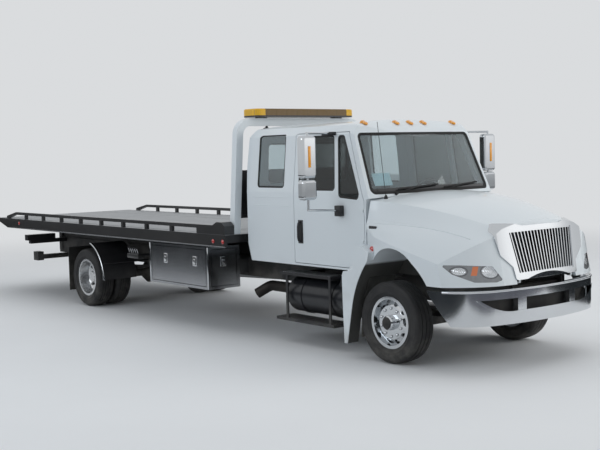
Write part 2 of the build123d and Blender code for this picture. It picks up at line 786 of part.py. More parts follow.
# Grille: frame and bowed bars in the nose, with a bright surround wrapped on to the hood's corners
with BuildPart() as grille:
    with BuildSketch(grille_plane.offset(-grille_depth)) as frame_face:
        outline(grille_corners, 18)
        with BuildLine() as opening:
            Polyline(*shrink(grille_corners, grille_frame), close=True)
        make_face(opening.edges(), mode=Mode.SUBTRACT)
    extrude(frame_face.sketch, amount=grille_depth + 80)
    with BuildSketch(grille_plane.offset(8 - grille_depth)) as bars:
        for index in range(grille_bar_count):
            share = (index + 0.5) / grille_bar_count * 2 - 1
            foot_y = share * (grille_bottom_half - grille_frame)
            head_y = share * (grille_top_half - grille_frame)
            half = grille_half_height - grille_frame + 2
            outline(
                [
                    (foot_y - grille_bar / 2, -half), (foot_y + grille_bar / 2, -half),
                    (head_y + grille_bar / 2, half), (head_y - grille_bar / 2, half),
                ]
            )
    extrude(bars.sketch, amount=grille_depth + 20)
    add(hood_volume(6 - surround_rise), mode=Mode.INTERSECT)
    with BuildPart(mode=Mode.PRIVATE) as surround:
        with BuildSketch(grille_plane.offset(120)) as band:
            outline(surround_outline + [(-y, height) for y, height in reversed(surround_outline)], 26)
            with BuildLine() as mouth:
                Polyline(*shrink(grille_corners, grille_frame / 2), close=True)
            make_face(mouth.edges(), mode=Mode.SUBTRACT)
        extrude(band.sketch, amount=-460)
        add(hood_volume(-surround_rise), mode=Mode.INTERSECT)
        add(hood_volume(-seat_gap), mode=Mode.SUBTRACT)
    add(surround.part)
keep(grille, "grille")

# Front bumper: one bright pressing bowed in plan, slanted ends, three inlets over a raised bead
bumper_low = 472.0
bumper_high = 805.0
bumper_wall = 60.0
bead_rise = 8.0
bumper_shoulder = (1108.0, 720.0)
bumper_bow = [(300, 1128), (640, 1122), (968, 965), bumper_shoulder, (bumper_ahead - bead_rise, 0)]
inlet_top = 716.0
inlet_low = 597.0
inlet_half = 860.0
inlet_bend = (700.0, 629.0)
bead_low = 574.0
bead_half = 892.0
bead_bend = (712.0, 607.0)
inlet_posts = (332.0, 441.0)
bumper_sagitta = bumper_bow[-1][0] - bumper_shoulder[0]
bumper_radius = (bumper_shoulder[1] ** 2 + bumper_sagitta**2) / (2 * bumper_sagitta)


def bumper_plan():
    """Bumper outline seen from above, in the sketch in hand."""
    tail, end, corner, shoulder, middle = bumper_bow
    with BuildLine() as edge:
        Line(tail, end)
        ThreePointArc(end, corner, shoulder)
        ThreePointArc(shoulder, middle, (shoulder[0], -shoulder[1]))
        ThreePointArc((shoulder[0], -shoulder[1]), (corner[0], -corner[1]), (end[0], -end[1]))
        Line((end[0], -end[1]), (tail[0], -tail[1]))
        Line((tail[0], -tail[1]), tail)
    make_face(edge.edges())


def bumper_back(y):
    """Station of the bumper's rear wall at a width between its shoulders."""
    centre = bumper_bow[-1][0] - bumper_radius
    return centre + sqrt((bumper_radius - bumper_wall) ** 2 - y**2)


def smile(half, bend, low, mode=Mode.ADD):
    """Band across the bumper's face, flat on top and rounded up at both ends, seen from ahead."""
    flat = inlet_posts[1]
    with BuildLine() as edge:
        ThreePointArc((-half, inlet_top), (-bend[0], bend[1]), (-flat, low))
        Line((-flat, low), (flat, low))
        ThreePointArc((flat, low), bend, (half, inlet_top))
        Line((half, inlet_top), (-half, inlet_top))
    make_face(edge.edges(), mode=mode)


with BuildPart() as front_bumper:
    with BuildSketch(level_plane(bumper_low)) as outer_plan:
        bumper_plan()
    extrude(outer_plan.sketch, amount=bumper_high - bumper_low)
    with BuildPart(mode=Mode.PRIVATE) as bead:
        with BuildSketch(cross_plane(860)) as bead_face:
            smile(bead_half, bead_bend, bead_low)
            smile(inlet_half, inlet_bend, inlet_low, Mode.SUBTRACT)
        extrude(bead_face.sketch, amount=500)
        with BuildSketch(level_plane(bumper_low)) as bead_plan:
            bumper_plan()
            offset(amount=bead_rise, kind=Kind.INTERSECTION)
        extrude(bead_plan.sketch, amount=bumper_high - bumper_low, mode=Mode.INTERSECT)
    add(bead.part)
    with BuildSketch(level_plane(bumper_low - 10)) as inner_plan:
        bumper_plan()
        offset(amount=-bumper_wall, kind=Kind.INTERSECTION)
    extrude(inner_plan.sketch, amount=bumper_high - bumper_low + 20, mode=Mode.SUBTRACT)
    with BuildSketch(side_plane(1200)) as end_cut:
        outline([(200, 400), (860, 400), (860, bumper_low), (615, bumper_high), (615, 900), (200, 900)])
    extrude(end_cut.sketch, amount=2400, mode=Mode.SUBTRACT)
    with BuildSketch(cross_plane(900)) as inlets:
        smile(inlet_half, inlet_bend, inlet_low)
        for side in (-1, 1):
            post = on_side(side, *inlet_posts)
            with BuildLine() as post_edge:
                Polyline((post[0], 500), (post[1], 500), (post[1], 800), (post[0], 800), close=True)
            make_face(post_edge.edges(), mode=Mode.SUBTRACT)
    extrude(inlets.sketch, amount=500, mode=Mode.SUBTRACT)
keep(front_bumper, "front_bumper")

# Engine and gearbox in one mass, and the radiator ahead of it
with BuildPart() as engine:
    block((-330, 640), (-320, 320), (680, 1400))
    block((-1350, -329), (-210, 210), (560, 840))
    mount_half = rail_outer_y - rail_plate - seat_gap
    block((150, 250), (-mount_half, mount_half), (700, 760))
keep(engine, "engine")

with BuildPart() as radiator:
    block((800, 880), (-420, 420), (rail_top + seat_gap, 1310))
keep(radiator, "radiator")

with BuildPart() as driveshaft:
    rod((-1350 - 2.5, 0, 640), (rear_axle_station + 166.6, 0, tyre_radius + 30), 52)
keep(driveshaft, "driveshaft")

# Cab interior
with BuildPart() as dashboard:
    with BuildSketch(side_plane(870)) as dash:
        outline([(-455.3, 1300), (-455.3, 1560), (-520, 1630), (-600, 1625), (-770, 1550), (-800, 1450),
                 (-700, 1300)], 30)
    extrude(dash.sketch, amount=1740)
    rod((-700, 420, 1480), (-900, 420, 1610), 32)
    with BuildSketch(Plane(origin=(at(-900), 420, 1610), z_dir=(-200, 0, 130))) as wheel_ring:
        Circle(225)
        Circle(198, mode=Mode.SUBTRACT)
        with GridLocations(0, 0, 1, 1):
            Rectangle(400, 34)
            Rectangle(34, 400)
    extrude(wheel_ring.sketch, amount=24)
keep(dashboard, "dashboard")

with BuildPart() as seats:
    for seat_y in (-430, 430):
        with BuildSketch(side_plane(seat_y + 250)) as seat:
            outline(
                [
                    (-1130, 945 + seat_gap), (-1130, 1240), (-1105, 1340), (-1600, 1310), (-1700, 1900),
                    (-1830, 1900), (-1760, 1250), (-1640, 1220), (-1640, 945 + seat_gap),
                ]
            )
        extrude(seat.sketch, amount=500)
keep(seats, "seats")

# Right side below the cab: fuel tank with straps and steps, left side: battery box with steps
tank_centre = (-740.0, 540.0)
tank_radius = 205.0
tank_ends = (-1760.0, -760.0)
tank_y, tank_z = tank_centre
strap_inset = 240.0
strap_half = 25.0
strap_z = (640.0, 720.0)
with BuildPart() as fuel_tank:
    rod((tank_ends[0], tank_y, tank_z), (tank_ends[1], tank_y, tank_z), tank_radius)
    fillet(fuel_tank.faces().filter_by(GeomType.PLANE).edges(), 30)
    for strap in (tank_ends[0] + strap_inset, tank_ends[1] - strap_inset):
        rod((strap - strap_half, tank_y, tank_z), (strap + strap_half, tank_y, tank_z), tank_radius + 8)
        block((strap - strap_half, strap + strap_half), (tank_y, -rail_outer_y - seat_gap), strap_z)
    rod((-880, tank_y - 120, 700), (-850, tank_y - 120, 775), 42)
keep(fuel_tank, "fuel_tank")

with BuildPart() as battery_box:
    block((tank_ends[0], tank_ends[1]), (540, 930), (380, 740))
    fillet(battery_box.edges().filter_by(Axis.X), 20)
    for strap in (tank_ends[0] + strap_inset, tank_ends[1] - strap_inset):
        block((strap - strap_half, strap + strap_half), (rail_outer_y + seat_gap, 560), strap_z)
keep(battery_box, "battery_box")

step_stations = (-1900.0, -900.0)
step_y = (730.0, 985.0)
low_step_z = (250.0, 285.0)
high_step_z = (770.0, 800.0)
hanger_half = 18.0
hanger_thickness = 14.0
with BuildPart() as steps:
    for side in (-1, 1):
        tread = on_side(side, *step_y)
        block(step_stations, tread, low_step_z)
        block((step_stations[0] + 80, step_stations[1] - 40), tread, high_step_z)
        for hanger in (step_stations[0] + 200, step_stations[1] - 60):
            leg = (hanger - hanger_half, hanger + hanger_half)
            upright = on_side(side, step_y[1] - hanger_thickness, step_y[1])
            block(leg, upright, (low_step_z[0], high_step_z[1]))
            block(leg, on_side(side, rail_outer_y + seat_gap, step_y[1] - 5), (755, 790))
keep(steps, "steps")

# Exhaust: one fat pipe behind the fuel tank, bent down and out at its tail
exhaust_y = -655.0
exhaust_z = 560.0
exhaust_radius = 62.0
exhaust_bracket = (-1990.0, -1950.0)
with BuildPart() as exhaust:
    with BuildLine() as route:
        FilletPolyline(
            (at(-1785), exhaust_y, exhaust_z), (at(-2430), exhaust_y, exhaust_z),
            (at(-2560), exhaust_y - 110, exhaust_z - 100), radius=120,
        )
    with BuildSketch(Plane(origin=route.line @ 0, z_dir=route.line % 0)) as bore:
        Circle(exhaust_radius)
        Circle(exhaust_radius - 4, mode=Mode.SUBTRACT)
    sweep()
    block(exhaust_bracket, (exhaust_y, -rail_outer_y - seat_gap), (exhaust_z + exhaust_radius - 2, 680))
keep(exhaust, "exhaust")

# Toolboxes: open-fronted boxes with a drop-down side door and an end door
box_stations = (-4380.0, -3015.0)
box_y = (690.0, 1162.0)
box_z = (500.0, 1022.0)
box_wall = 26.0
side_door = ((-4335.0, -3065.0), (532.0, 990.0))
end_door_y = (735.0, 1118.0)
box_pin_radius = 4.0
side_pin_reach = 20.0
side_hinge = (1154.0, 547.0)
end_hinge = (-3023.0, 750.0)
with BuildPart() as toolboxes:
    block(box_stations, (-box_y[1], -box_y[0]), box_z)
    block((box_stations[0] + box_wall, box_stations[1] - box_wall),
          (-box_y[1] + box_wall, -box_y[0] - box_wall),
          (box_z[0] + box_wall, box_z[1] - box_wall), Mode.SUBTRACT)
    block(side_door[0], (-box_y[1] - 5, -box_y[1] + 100), side_door[1], Mode.SUBTRACT)
    block((box_stations[1] - 100, box_stations[1] + 5), (-end_door_y[1], -end_door_y[0]), side_door[1],
          Mode.SUBTRACT)
    for bracket in (box_stations[0] + 200, box_stations[1] - 200):
        block((bracket - 30, bracket + 30), (-box_y[0] - 1, -rail_outer_y - seat_gap), (640, 820))
    for end in side_door[0]:
        rod((end - side_pin_reach, -side_hinge[0], side_hinge[1]),
            (end + side_pin_reach, -side_hinge[0], side_hinge[1]), box_pin_radius)
    for end in side_door[1]:
        rod((end_hinge[0], -end_hinge[1], end - side_pin_reach),
            (end_hinge[0], -end_hinge[1], end + side_pin_reach), box_pin_radius)
    mirror(about=Plane.XZ)
keep(toolboxes, "toolboxes")

with BuildPart() as toolbox_door:
    block((side_door[0][0] + door_gap, side_door[0][1] - door_gap), (-box_y[1], -box_y[1] + box_wall),
          (side_door[1][0] + door_gap, side_door[1][1] - door_gap))
    for end in side_door[0]:
        rod((end - side_pin_reach - 1, -side_hinge[0], side_hinge[1]),
            (end + side_pin_reach + 1, -side_hinge[0], side_hinge[1]), box_pin_radius + 0.4, Mode.SUBTRACT)
keep_pair(toolbox_door, "toolbox_door")

with BuildPart() as end_door:
    block((box_stations[1] - box_wall, box_stations[1]),
          (-end_door_y[1] + door_gap, -end_door_y[0] - door_gap),
          (side_door[1][0] + door_gap, side_door[1][1] - door_gap))
    for end in side_door[1]:
        rod((end_hinge[0], -end_hinge[1], end - side_pin_reach - 1),
            (end_hinge[0], -end_hinge[1], end + side_pin_reach + 1), box_pin_radius + 0.4, Mode.SUBTRACT)
keep_pair(end_door, "toolbox_end_door")

# Splash panels behind the front wheels, bright quarter fenders and rubber flaps at the rear
with BuildPart() as splash_panels:
    for side in (1, -1):
        with BuildSketch(side_plane(-side * 560)) as panel:
            outline([(-500, 200), (-482, 520), (-372, 838), (-382, 838), (-492, 522), (-510, 200)])
        extrude(panel.sketch, amount=side * 380)
        widths = on_side(-side, 565, rail_outer_y + seat_gap)
        block((-400, -370), widths, (790, 820))
keep(splash_panels, "splash_panels")

fender_radius = 528.0
fender_y = (660.0, 1185.0)
with BuildPart() as quarter_fenders:
    for side in (1, -1):
        with BuildSketch(side_plane(-side * fender_y[0])) as fender:
            with BuildLine():
                first = radians(0)
                last = radians(72)
                middle = (first + last) / 2
                for radius in (fender_radius, fender_radius + 5):
                    ThreePointArc(
                        (rear_axle_station + radius * cos(first), tyre_radius + radius * sin(first)),
                        (rear_axle_station + radius * cos(middle), tyre_radius + radius * sin(middle)),
                        (rear_axle_station + radius * cos(last), tyre_radius + radius * sin(last)),
                    )
                for angle in (first, last):
                    start, end = [
                        (rear_axle_station + radius * cos(angle), tyre_radius + radius * sin(angle))
                        for radius in (fender_radius, fender_radius + 5)
                    ]
                    Line(start, end)
            make_face()
        extrude(fender.sketch, amount=side * (fender_y[1] - fender_y[0]))
        rod((rear_axle_station + 494, -side * (rail_outer_y + seat_gap), tyre_radius + 230),
            (rear_axle_station + 494, -side * (fender_y[1] - 40), tyre_radius + 230), 14)
keep(quarter_fenders, "quarter_fenders")

flap_station = rear_axle_station - 520
with BuildPart() as mud_flaps:
    for side in (1, -1):
        widths = on_side(-side, 1190, 660)
        block((flap_station - 5, flap_station + 5), widths, (190, 800))
        widths = on_side(-side, 1190, rail_outer_y + seat_gap)
        block((flap_station - 20, flap_station + 20), widths, (798, 830))
keep(mud_flaps, "mud_flaps")

# Tail lamp brackets reaching out from the rails ahead of the bed's hinge
with BuildPart() as tail_beam:
    for side in (-1, 1):
        widths = on_side(side, 1060, rail_outer_y + seat_gap)
        block((-8340, -8250), widths, (790, 850))
        widths = on_side(side, 1120, 640)
        block((-8350, -8240), widths, (845, 935))
keep(tail_beam, "tail_beam")

# Mirrors: two bright heads on bent tube arms, carried by each door
mirror_station = -780.0
mirror_y = 1395.0
mirror_head_half = 95.0
mirror_head_depth = 84.0
mirror_tube = 12.0
upper_head = (1873.0, 2312.0)
lower_head = (1650.0, 1862.0)
upper_arm_z = 2338.0
lower_arm_z = 1545.0
with BuildPart() as door_mirror:
    for low_z, high_z in (upper_head, lower_head):
        with BuildSketch(cross_plane(mirror_station - mirror_head_depth / 2)) as head:
            rectangle((-mirror_y - mirror_head_half, low_z), (mirror_head_half - mirror_y, high_z), 40)
        extrude(head.sketch, amount=mirror_head_depth)
    fillet(door_mirror.faces().group_by(Axis.X)[-1].edges(), 28)
    stem = (mirror_station, -mirror_y)
    rod((*stem, lower_head[1] - 7), (*stem, upper_head[0] + 7), mirror_tube)
    rod((*stem, upper_head[1] - 12), (*stem, upper_arm_z + 7), mirror_tube)
    rod((*stem, lower_arm_z - 5), (*stem, lower_head[0] + 10), mirror_tube)
    rod((mirror_station, -mirror_y - 10, upper_arm_z), (-960, -905, upper_arm_z), mirror_tube)
    rod((mirror_station, -mirror_y - 10, lower_arm_z), (-780, -cab_half_width - 20, lower_arm_z - 25),
        mirror_tube)
    block((-820, -740), (-cab_half_width - 60, -cab_half_width - seat_gap), (1465, 1570))
    block((-1010, -910), (-960, -886.6), (2322, 2350))
keep_pair(door_mirror, "mirror")

# Tilting carriage under the bed, with the bed's slide cylinder in its middle
carriage_bottom = rail_top + seat_gap
carriage_top = 1035.0
runner_bottom = 1041.0
pad_stations = (-3100.0, -4300.0, -5500.0, -6700.0, -7900.0)
carriage_cross_stations = (-3700.0, -4800.0, -6300.0, -7300.0, -8340.0)
slide_cylinder_z = 965.0
slide_cylinder_radius = 48.0
slide_bore = 38.0
slide_rod_radius = 24.0
slide_barrel = (-2680.0, -6400.0)
slide_eye_station = -6440.0
pin_radius = 20.0
tilt_eye = (-5600.0, 915.0)
tilt_base = (-4300.0, 665.0)
tilt_cylinder_y = 200.0
carriage_inner_y = tilt_rail_outer_y - tilt_rail_width
with BuildPart() as tilt_frame:
    for side in (1, -1):
        with BuildSketch(side_plane(-side * carriage_inner_y)) as rail:
            with BuildLine():
                end_radius = tilt_hinge[1] - carriage_bottom - 0.7
                Polyline(
                    (tilt_hinge[0], tilt_hinge[1] - end_radius), (tilt_hinge[0] + 60, carriage_bottom),
                    (tilt_frame_front, carriage_bottom), (tilt_frame_front, carriage_top),
                    (tilt_hinge[0], carriage_top), (tilt_hinge[0] - end_radius, tilt_hinge[1]),
                )
                ThreePointArc(
                    (tilt_hinge[0] - end_radius, tilt_hinge[1]),
                    (tilt_hinge[0] - end_radius * cos(radians(45)),
                     tilt_hinge[1] - end_radius * sin(radians(45))),
                    (tilt_hinge[0], tilt_hinge[1] - end_radius),
                )
            make_face()
        extrude(rail.sketch, amount=side * tilt_rail_width)
        for station in pad_stations:
            widths = on_side(side, carriage_inner_y + 5, tilt_rail_outer_y - 5)
            block((station - 100, station + 100), widths, (carriage_top, runner_bottom - seat_gap))
        widths = on_side(side, 100, carriage_inner_y + 1)
        block((tilt_eye[0] - 45, tilt_eye[0] + 45), widths, (975, 1030))
        for plate in (tilt_cylinder_y - 55, tilt_cylinder_y + 40):
            widths = on_side(side, plate, plate + 15)
            block((tilt_eye[0] - 35, tilt_eye[0] + 35), widths, (880, 980))
    cross_rod(tilt_hinge[0], 440, tilt_hinge[1], pin_radius + 0.4, Mode.SUBTRACT)
    for station in carriage_cross_stations:
        block((station - 35, station + 35), (-carriage_inner_y - 1, carriage_inner_y + 1), (862, 895))
    front_end = (tilt_frame_front - 70, tilt_frame_front)
    block(front_end, (-carriage_inner_y - 1, carriage_inner_y + 1), (862, 1030))
    rod((slide_barrel[0], 0, slide_cylinder_z), (slide_barrel[1], 0, slide_cylinder_z), slide_cylinder_radius)
    rod((slide_barrel[0] - 30, 0, slide_cylinder_z), (slide_barrel[1] + 30, 0, slide_cylinder_z), slide_bore,
        Mode.SUBTRACT)
    rod((slide_barrel[1] + 40, 0, slide_cylinder_z), (slide_barrel[1] - 10, 0, slide_cylinder_z),
        slide_rod_radius + 0.5, Mode.SUBTRACT)
    for station in (-3700.0, -4800.0, -6300.0):
        block((station - 20, station + 20), (-30, 30), (890, slide_cylinder_z - slide_cylinder_radius + 4))
keep(tilt_frame, "tilt_frame")

with BuildPart() as slide_rod:
    rod((slide_barrel[0] - 40, 0, slide_cylinder_z), (slide_barrel[0] - 100, 0, slide_cylinder_z),
        slide_bore - 0.5)
    rod((slide_barrel[0] - 90, 0, slide_cylinder_z), (slide_eye_station, 0, slide_cylinder_z),
        slide_rod_radius)
keep(slide_rod, "slide_rod")

# Pair of tilt cylinders: barrels on the chassis, rods to the carriage
tilt_run = Vector(tilt_eye[0] - tilt_base[0], 0, tilt_eye[1] - tilt_base[1])
tilt_closed = tilt_run.length


def along_tilt(distance, y):
    """Point of the tilt cylinder's axis at a distance from its base, as (station, y, z)."""
    share = distance / tilt_closed
    return (tilt_base[0] + tilt_run.X * share, y, tilt_base[1] + tilt_run.Z * share)


with BuildPart() as tilt_barrels:
    for y in (-tilt_cylinder_y, tilt_cylinder_y):
        rod(along_tilt(20, y), along_tilt(tilt_closed - 150, y), 48)
        rod((tilt_base[0], y - 50, tilt_base[1]), (tilt_base[0], y + 50, tilt_base[1]), 42)
        rod(along_tilt(150, y), along_tilt(tilt_closed - 190, y), 38, Mode.SUBTRACT)
        rod(along_tilt(tilt_closed - 200, y), along_tilt(tilt_closed - 140, y), 25.5, Mode.SUBTRACT)
        rod((tilt_base[0], y - 60, tilt_base[1]), (tilt_base[0], y + 60, tilt_base[1]), pin_radius + 0.4,
            Mode.SUBTRACT)
keep(tilt_barrels, "tilt_cylinder_barrels")

with BuildPart() as tilt_rods:
    for y in (-tilt_cylinder_y, tilt_cylinder_y):
        rod(along_tilt(170, y), along_tilt(220, y), 37.5)
        rod(along_tilt(210, y), along_tilt(tilt_closed - 10, y), 25)
        rod((tilt_eye[0], y - 39.5, tilt_eye[1]), (tilt_eye[0], y + 39.5, tilt_eye[1]), 34)
keep(tilt_rods, "tilt_cylinder_rods")

# Bed: deck plate on cross channels and two runners, side panels, tapered tail
cross_pitch = post_pitch
cross_count = 10
tread_rise = 3.0
tread_stations = (-8960.0, -3160.0)
tread_strips = [
    # right edge y, left edge y
    (-1120.0, -616.0),
    (-604.0, 604.0),
    (616.0, 1120.0),
]
runner_y = (336.0, 404.0)
with BuildPart() as bed_deck:
    bed_length = (tail_station + 20, bed_front_station)
    between_sides = (21 - bed_half_width, bed_half_width - 21)
    block(bed_length, (-bed_half_width, bed_half_width), (deck_top - 8, deck_top))
    for side in (1, -1):
        with BuildSketch(side_plane(-side * (bed_half_width - 22))) as panel:
            outline(
                [
                    (bed_front_station, bed_side_bottom), (bed_front_station, deck_top - 7),
                    (tail_station + 20, deck_top - 7), (tail_station + 20, deck_top - 50),
                    (-8760, bed_side_bottom),
                ]
            )
        extrude(panel.sketch, amount=side * 22)
        widths = on_side(side, runner_y[0], runner_y[1])
        block((-8740, bed_front_station - 30), widths, (runner_bottom, 1097))
    for index in range(cross_count):
        station = bed_front_station - 70 - index * cross_pitch
        block((station - 30, station + 30), between_sides, (1096, deck_top - 7))
    block((slide_eye_station - 60, slide_eye_station), between_sides, (1096, deck_top - 7))
    block((slide_eye_station - 60, slide_eye_station), (-40, 40), (930, 1097))
    cross_rod(tail_station + 24, bed_half_width, deck_top - 24, 24)
    for strip in tread_strips:
        block(tread_stations, strip, (deck_top - 1, deck_top + tread_rise))
keep(bed_deck, "bed_deck")

rail_foot = deck_top + seat_gap
rail_low = 1262.0
with BuildPart() as side_rails:
    for side in (1, -1):
        with BuildSketch(side_plane(-side * (bed_half_width - 42))) as rail:
            outline(
                [
                    (-2800, rail_low), (-2800, rail_top_z), (-8414, rail_top_z), (-8771, rail_foot + 40),
                    (-8771, rail_foot), (-8700, rail_foot), (-8436, rail_low),
                ]
            )
            rectangle((last_post_station + (post_count - 1) * post_pitch, rail_foot), (-2790, rail_low + 1))
            for index in range(post_count):
                station = last_post_station + index * post_pitch
                rectangle((station - 27, rail_foot), (station + 27, rail_low + 1))
        extrude(rail.sketch, amount=side * 40)
        corner_y = hoop_foot_half + 2 * seat_gap
        with BuildSketch(side_plane(-side * corner_y)) as corner_box:
            outline(
                [
                    (-2560, rail_foot), (-2560, 1300), (-2620, 1345), (-2720, 1345),
                    (-2801, rail_top_z), (-2801, rail_foot),
                ]
            )
        extrude(corner_box.sketch, amount=side * (bed_half_width - 2 - corner_y))
keep(side_rails, "side_rails")

# Hoop behind the cab: one bent square tube with legs that lean in towards its top
hoop_low = deck_top + seat_gap
hoop_lean = (hoop_foot_half - hoop_top_half) / (hoop_top - hoop_low)


def hoop_half(height, inset=0.0):
    """Half width of the hoop's outline at a height, drawn in by inset."""
    return hoop_top_half + hoop_lean * (hoop_top - height) - inset * sqrt(1 + hoop_lean**2)


def hoop_outline(inset, foot, mode=Mode.ADD):
    """Face inside the hoop's outline, drawn in by inset, in the sketch in hand."""
    top = hoop_top - inset
    with BuildLine() as edge:
        FilletPolyline(
            (-hoop_half(foot, inset), foot), (-hoop_half(top, inset), top),
            (hoop_half(top, inset), top), (hoop_half(foot, inset), foot), radius=hoop_bend - inset,
        )
        Line((hoop_half(foot, inset), foot), (-hoop_half(foot, inset), foot))
    make_face(edge.edges(), mode=mode)


with BuildPart() as hoop:
    with BuildSketch(cross_plane(hoop_station - hoop_tube / 2)) as ring:
        hoop_outline(0, hoop_low)
        hoop_outline(hoop_tube, hoop_low - 1, Mode.SUBTRACT)
    extrude(ring.sketch, amount=hoop_tube)
keep(hoop, "hoop")

# Guard panel between the hoop's legs, stiffened by a rim at its top and foot and four ribs
guard_z = (1380.0, 1950.0)
guard_rim = 40.0
guard_ribs = (-600.0, -200.0, 200.0, 600.0)


def guard_sheet(low_z, high_z, thickness):
    """Sheet between two heights that follows the leaning legs, in the part in hand."""
    inset = hoop_tube + seat_gap
    with BuildSketch(cross_plane(hoop_station)) as sheet:
        outline(
            [
                (-hoop_half(low_z, inset), low_z), (hoop_half(low_z, inset), low_z),
                (hoop_half(high_z, inset), high_z), (-hoop_half(high_z, inset), high_z),
            ]
        )
    extrude(sheet.sketch, amount=thickness / 2, both=True)


with BuildPart() as cab_guard:
    guard_sheet(guard_z[0], guard_z[1], 6)
    guard_sheet(guard_z[0], guard_z[0] + guard_rim, guard_rim)
    guard_sheet(guard_z[1] - guard_rim, guard_z[1], guard_rim)
    for y in guard_ribs:
        block((hoop_station - 20, hoop_station + 20), (y - 20, y + 20), guard_z)
keep(cab_guard, "cab_guard")

# Light bar on two feet along the hoop's top
light_bar_half = 790.0
light_bar_lift = 12.0
light_bar_height = 100.0
light_bar_depth = 300.0
light_bar_foot_y = 600.0
with BuildPart() as light_bar:
    with BuildSketch(level_plane(hoop_top + light_bar_lift)) as bar_plan:
        rectangle(
            (hoop_station - light_bar_depth / 2, -light_bar_half),
            (hoop_station + light_bar_depth / 2, light_bar_half), 90,
        )
    extrude(bar_plan.sketch, amount=light_bar_height)
    fillet(light_bar.faces().sort_by(Axis.Z)[-1].edges(), 20)
    for side in (-1, 1):
        foot = on_side(side, light_bar_foot_y - 60, light_bar_foot_y + 60)
        foot_z = (hoop_top + seat_gap, hoop_top + light_bar_lift + 1)
        block((hoop_station - 40, hoop_station + 40), foot, foot_z)
keep(light_bar, "light_bar")

# Winch across the front of the deck
winch_axis = (-2920.0, 1345.0)
with BuildPart() as winch:
    block((winch_axis[0] - 150, winch_axis[0] + 150), (-260, 260), (deck_top + seat_gap, deck_top + 22))
    for y in (-215, 203):
        block((winch_axis[0] - 110, winch_axis[0] + 110), (y, y + 12), (deck_top + 20, winch_axis[1] + 60))
    rod((winch_axis[0], 214, winch_axis[1]), (winch_axis[0], 330, winch_axis[1]), 62)
    for y in (-203.5, 203.5):
        rod((winch_axis[0], y, winch_axis[1]), (winch_axis[0], y * 0.93, winch_axis[1]), 20)
keep(winch, "winch")

with BuildPart() as winch_drum:
    cross_rod(winch_axis[0], 196, winch_axis[1], 78)
    for y in (-196, 184):
        rod((winch_axis[0], y, winch_axis[1]), (winch_axis[0], y + 12, winch_axis[1]), 112)
    cross_rod(winch_axis[0], 200, winch_axis[1], 20.4, Mode.SUBTRACT)
keep(winch_drum, "winch_drum")

# Wheel lift stowed under the tail: boom, sliding stinger and swivelling crossbar
lift_pivot = (-7350.0, 530.0)
boom_half = (70.0, 60.0)
boom_wall = 10.0
boom_end = -8480.0
swivel_station = -8640.0
stinger_end = swivel_station + 72.0
with BuildPart() as lift_boom:
    block((boom_end, lift_pivot[0] + 60), (-boom_half[0], boom_half[0]),
          (lift_pivot[1] - boom_half[1], lift_pivot[1] + boom_half[1]))
    block((boom_end - 5, lift_pivot[0] - 80), (boom_wall - boom_half[0], boom_half[0] - boom_wall),
          (lift_pivot[1] - boom_half[1] + boom_wall, lift_pivot[1] + boom_half[1] - boom_wall), Mode.SUBTRACT)
    cross_rod(lift_pivot[0], 80, lift_pivot[1], pin_radius + 0.4, Mode.SUBTRACT)
keep(lift_boom, "lift_boom")

stinger_gap = 0.5
socket_radius = 20.0
with BuildPart() as lift_stinger:
    low_z = lift_pivot[1] - boom_half[1] + boom_wall + stinger_gap
    high_z = lift_pivot[1] + boom_half[1] - boom_wall - stinger_gap
    half_y = boom_half[0] - boom_wall - stinger_gap
    block((stinger_end, lift_pivot[0] - 100), (-half_y, half_y), (low_z, high_z))
    for plate_z in (low_z, high_z - 12):
        block((swivel_station - 45, stinger_end + 5), (-half_y, half_y), (plate_z, plate_z + 12))
    rod((swivel_station, 0, low_z), (swivel_station, 0, high_z), pin_radius)
keep(lift_stinger, "lift_stinger")

with BuildPart() as lift_crossbar:
    bar_low = lift_pivot[1] - boom_half[1] + boom_wall + stinger_gap + 12 + 1
    bar_high = lift_pivot[1] + boom_half[1] - boom_wall - stinger_gap - 12 - 1
    block((swivel_station - 42, swivel_station + 42), (-780, 780), (bar_low, bar_high))
    for side in (-1, 1):
        widths = on_side(side, 690, 790)
        block((swivel_station - 130, swivel_station + 42), widths, (bar_low - 20, bar_high + 50))
        rod((swivel_station - 86, side * 740, bar_low - 30), (swivel_station - 86, side * 740, bar_high + 60),
            socket_radius, Mode.SUBTRACT)
    rod((swivel_station, 0, bar_low - 5), (swivel_station, 0, bar_high + 5), pin_radius + 0.4, Mode.SUBTRACT)
keep(lift_crossbar, "lift_crossbar")

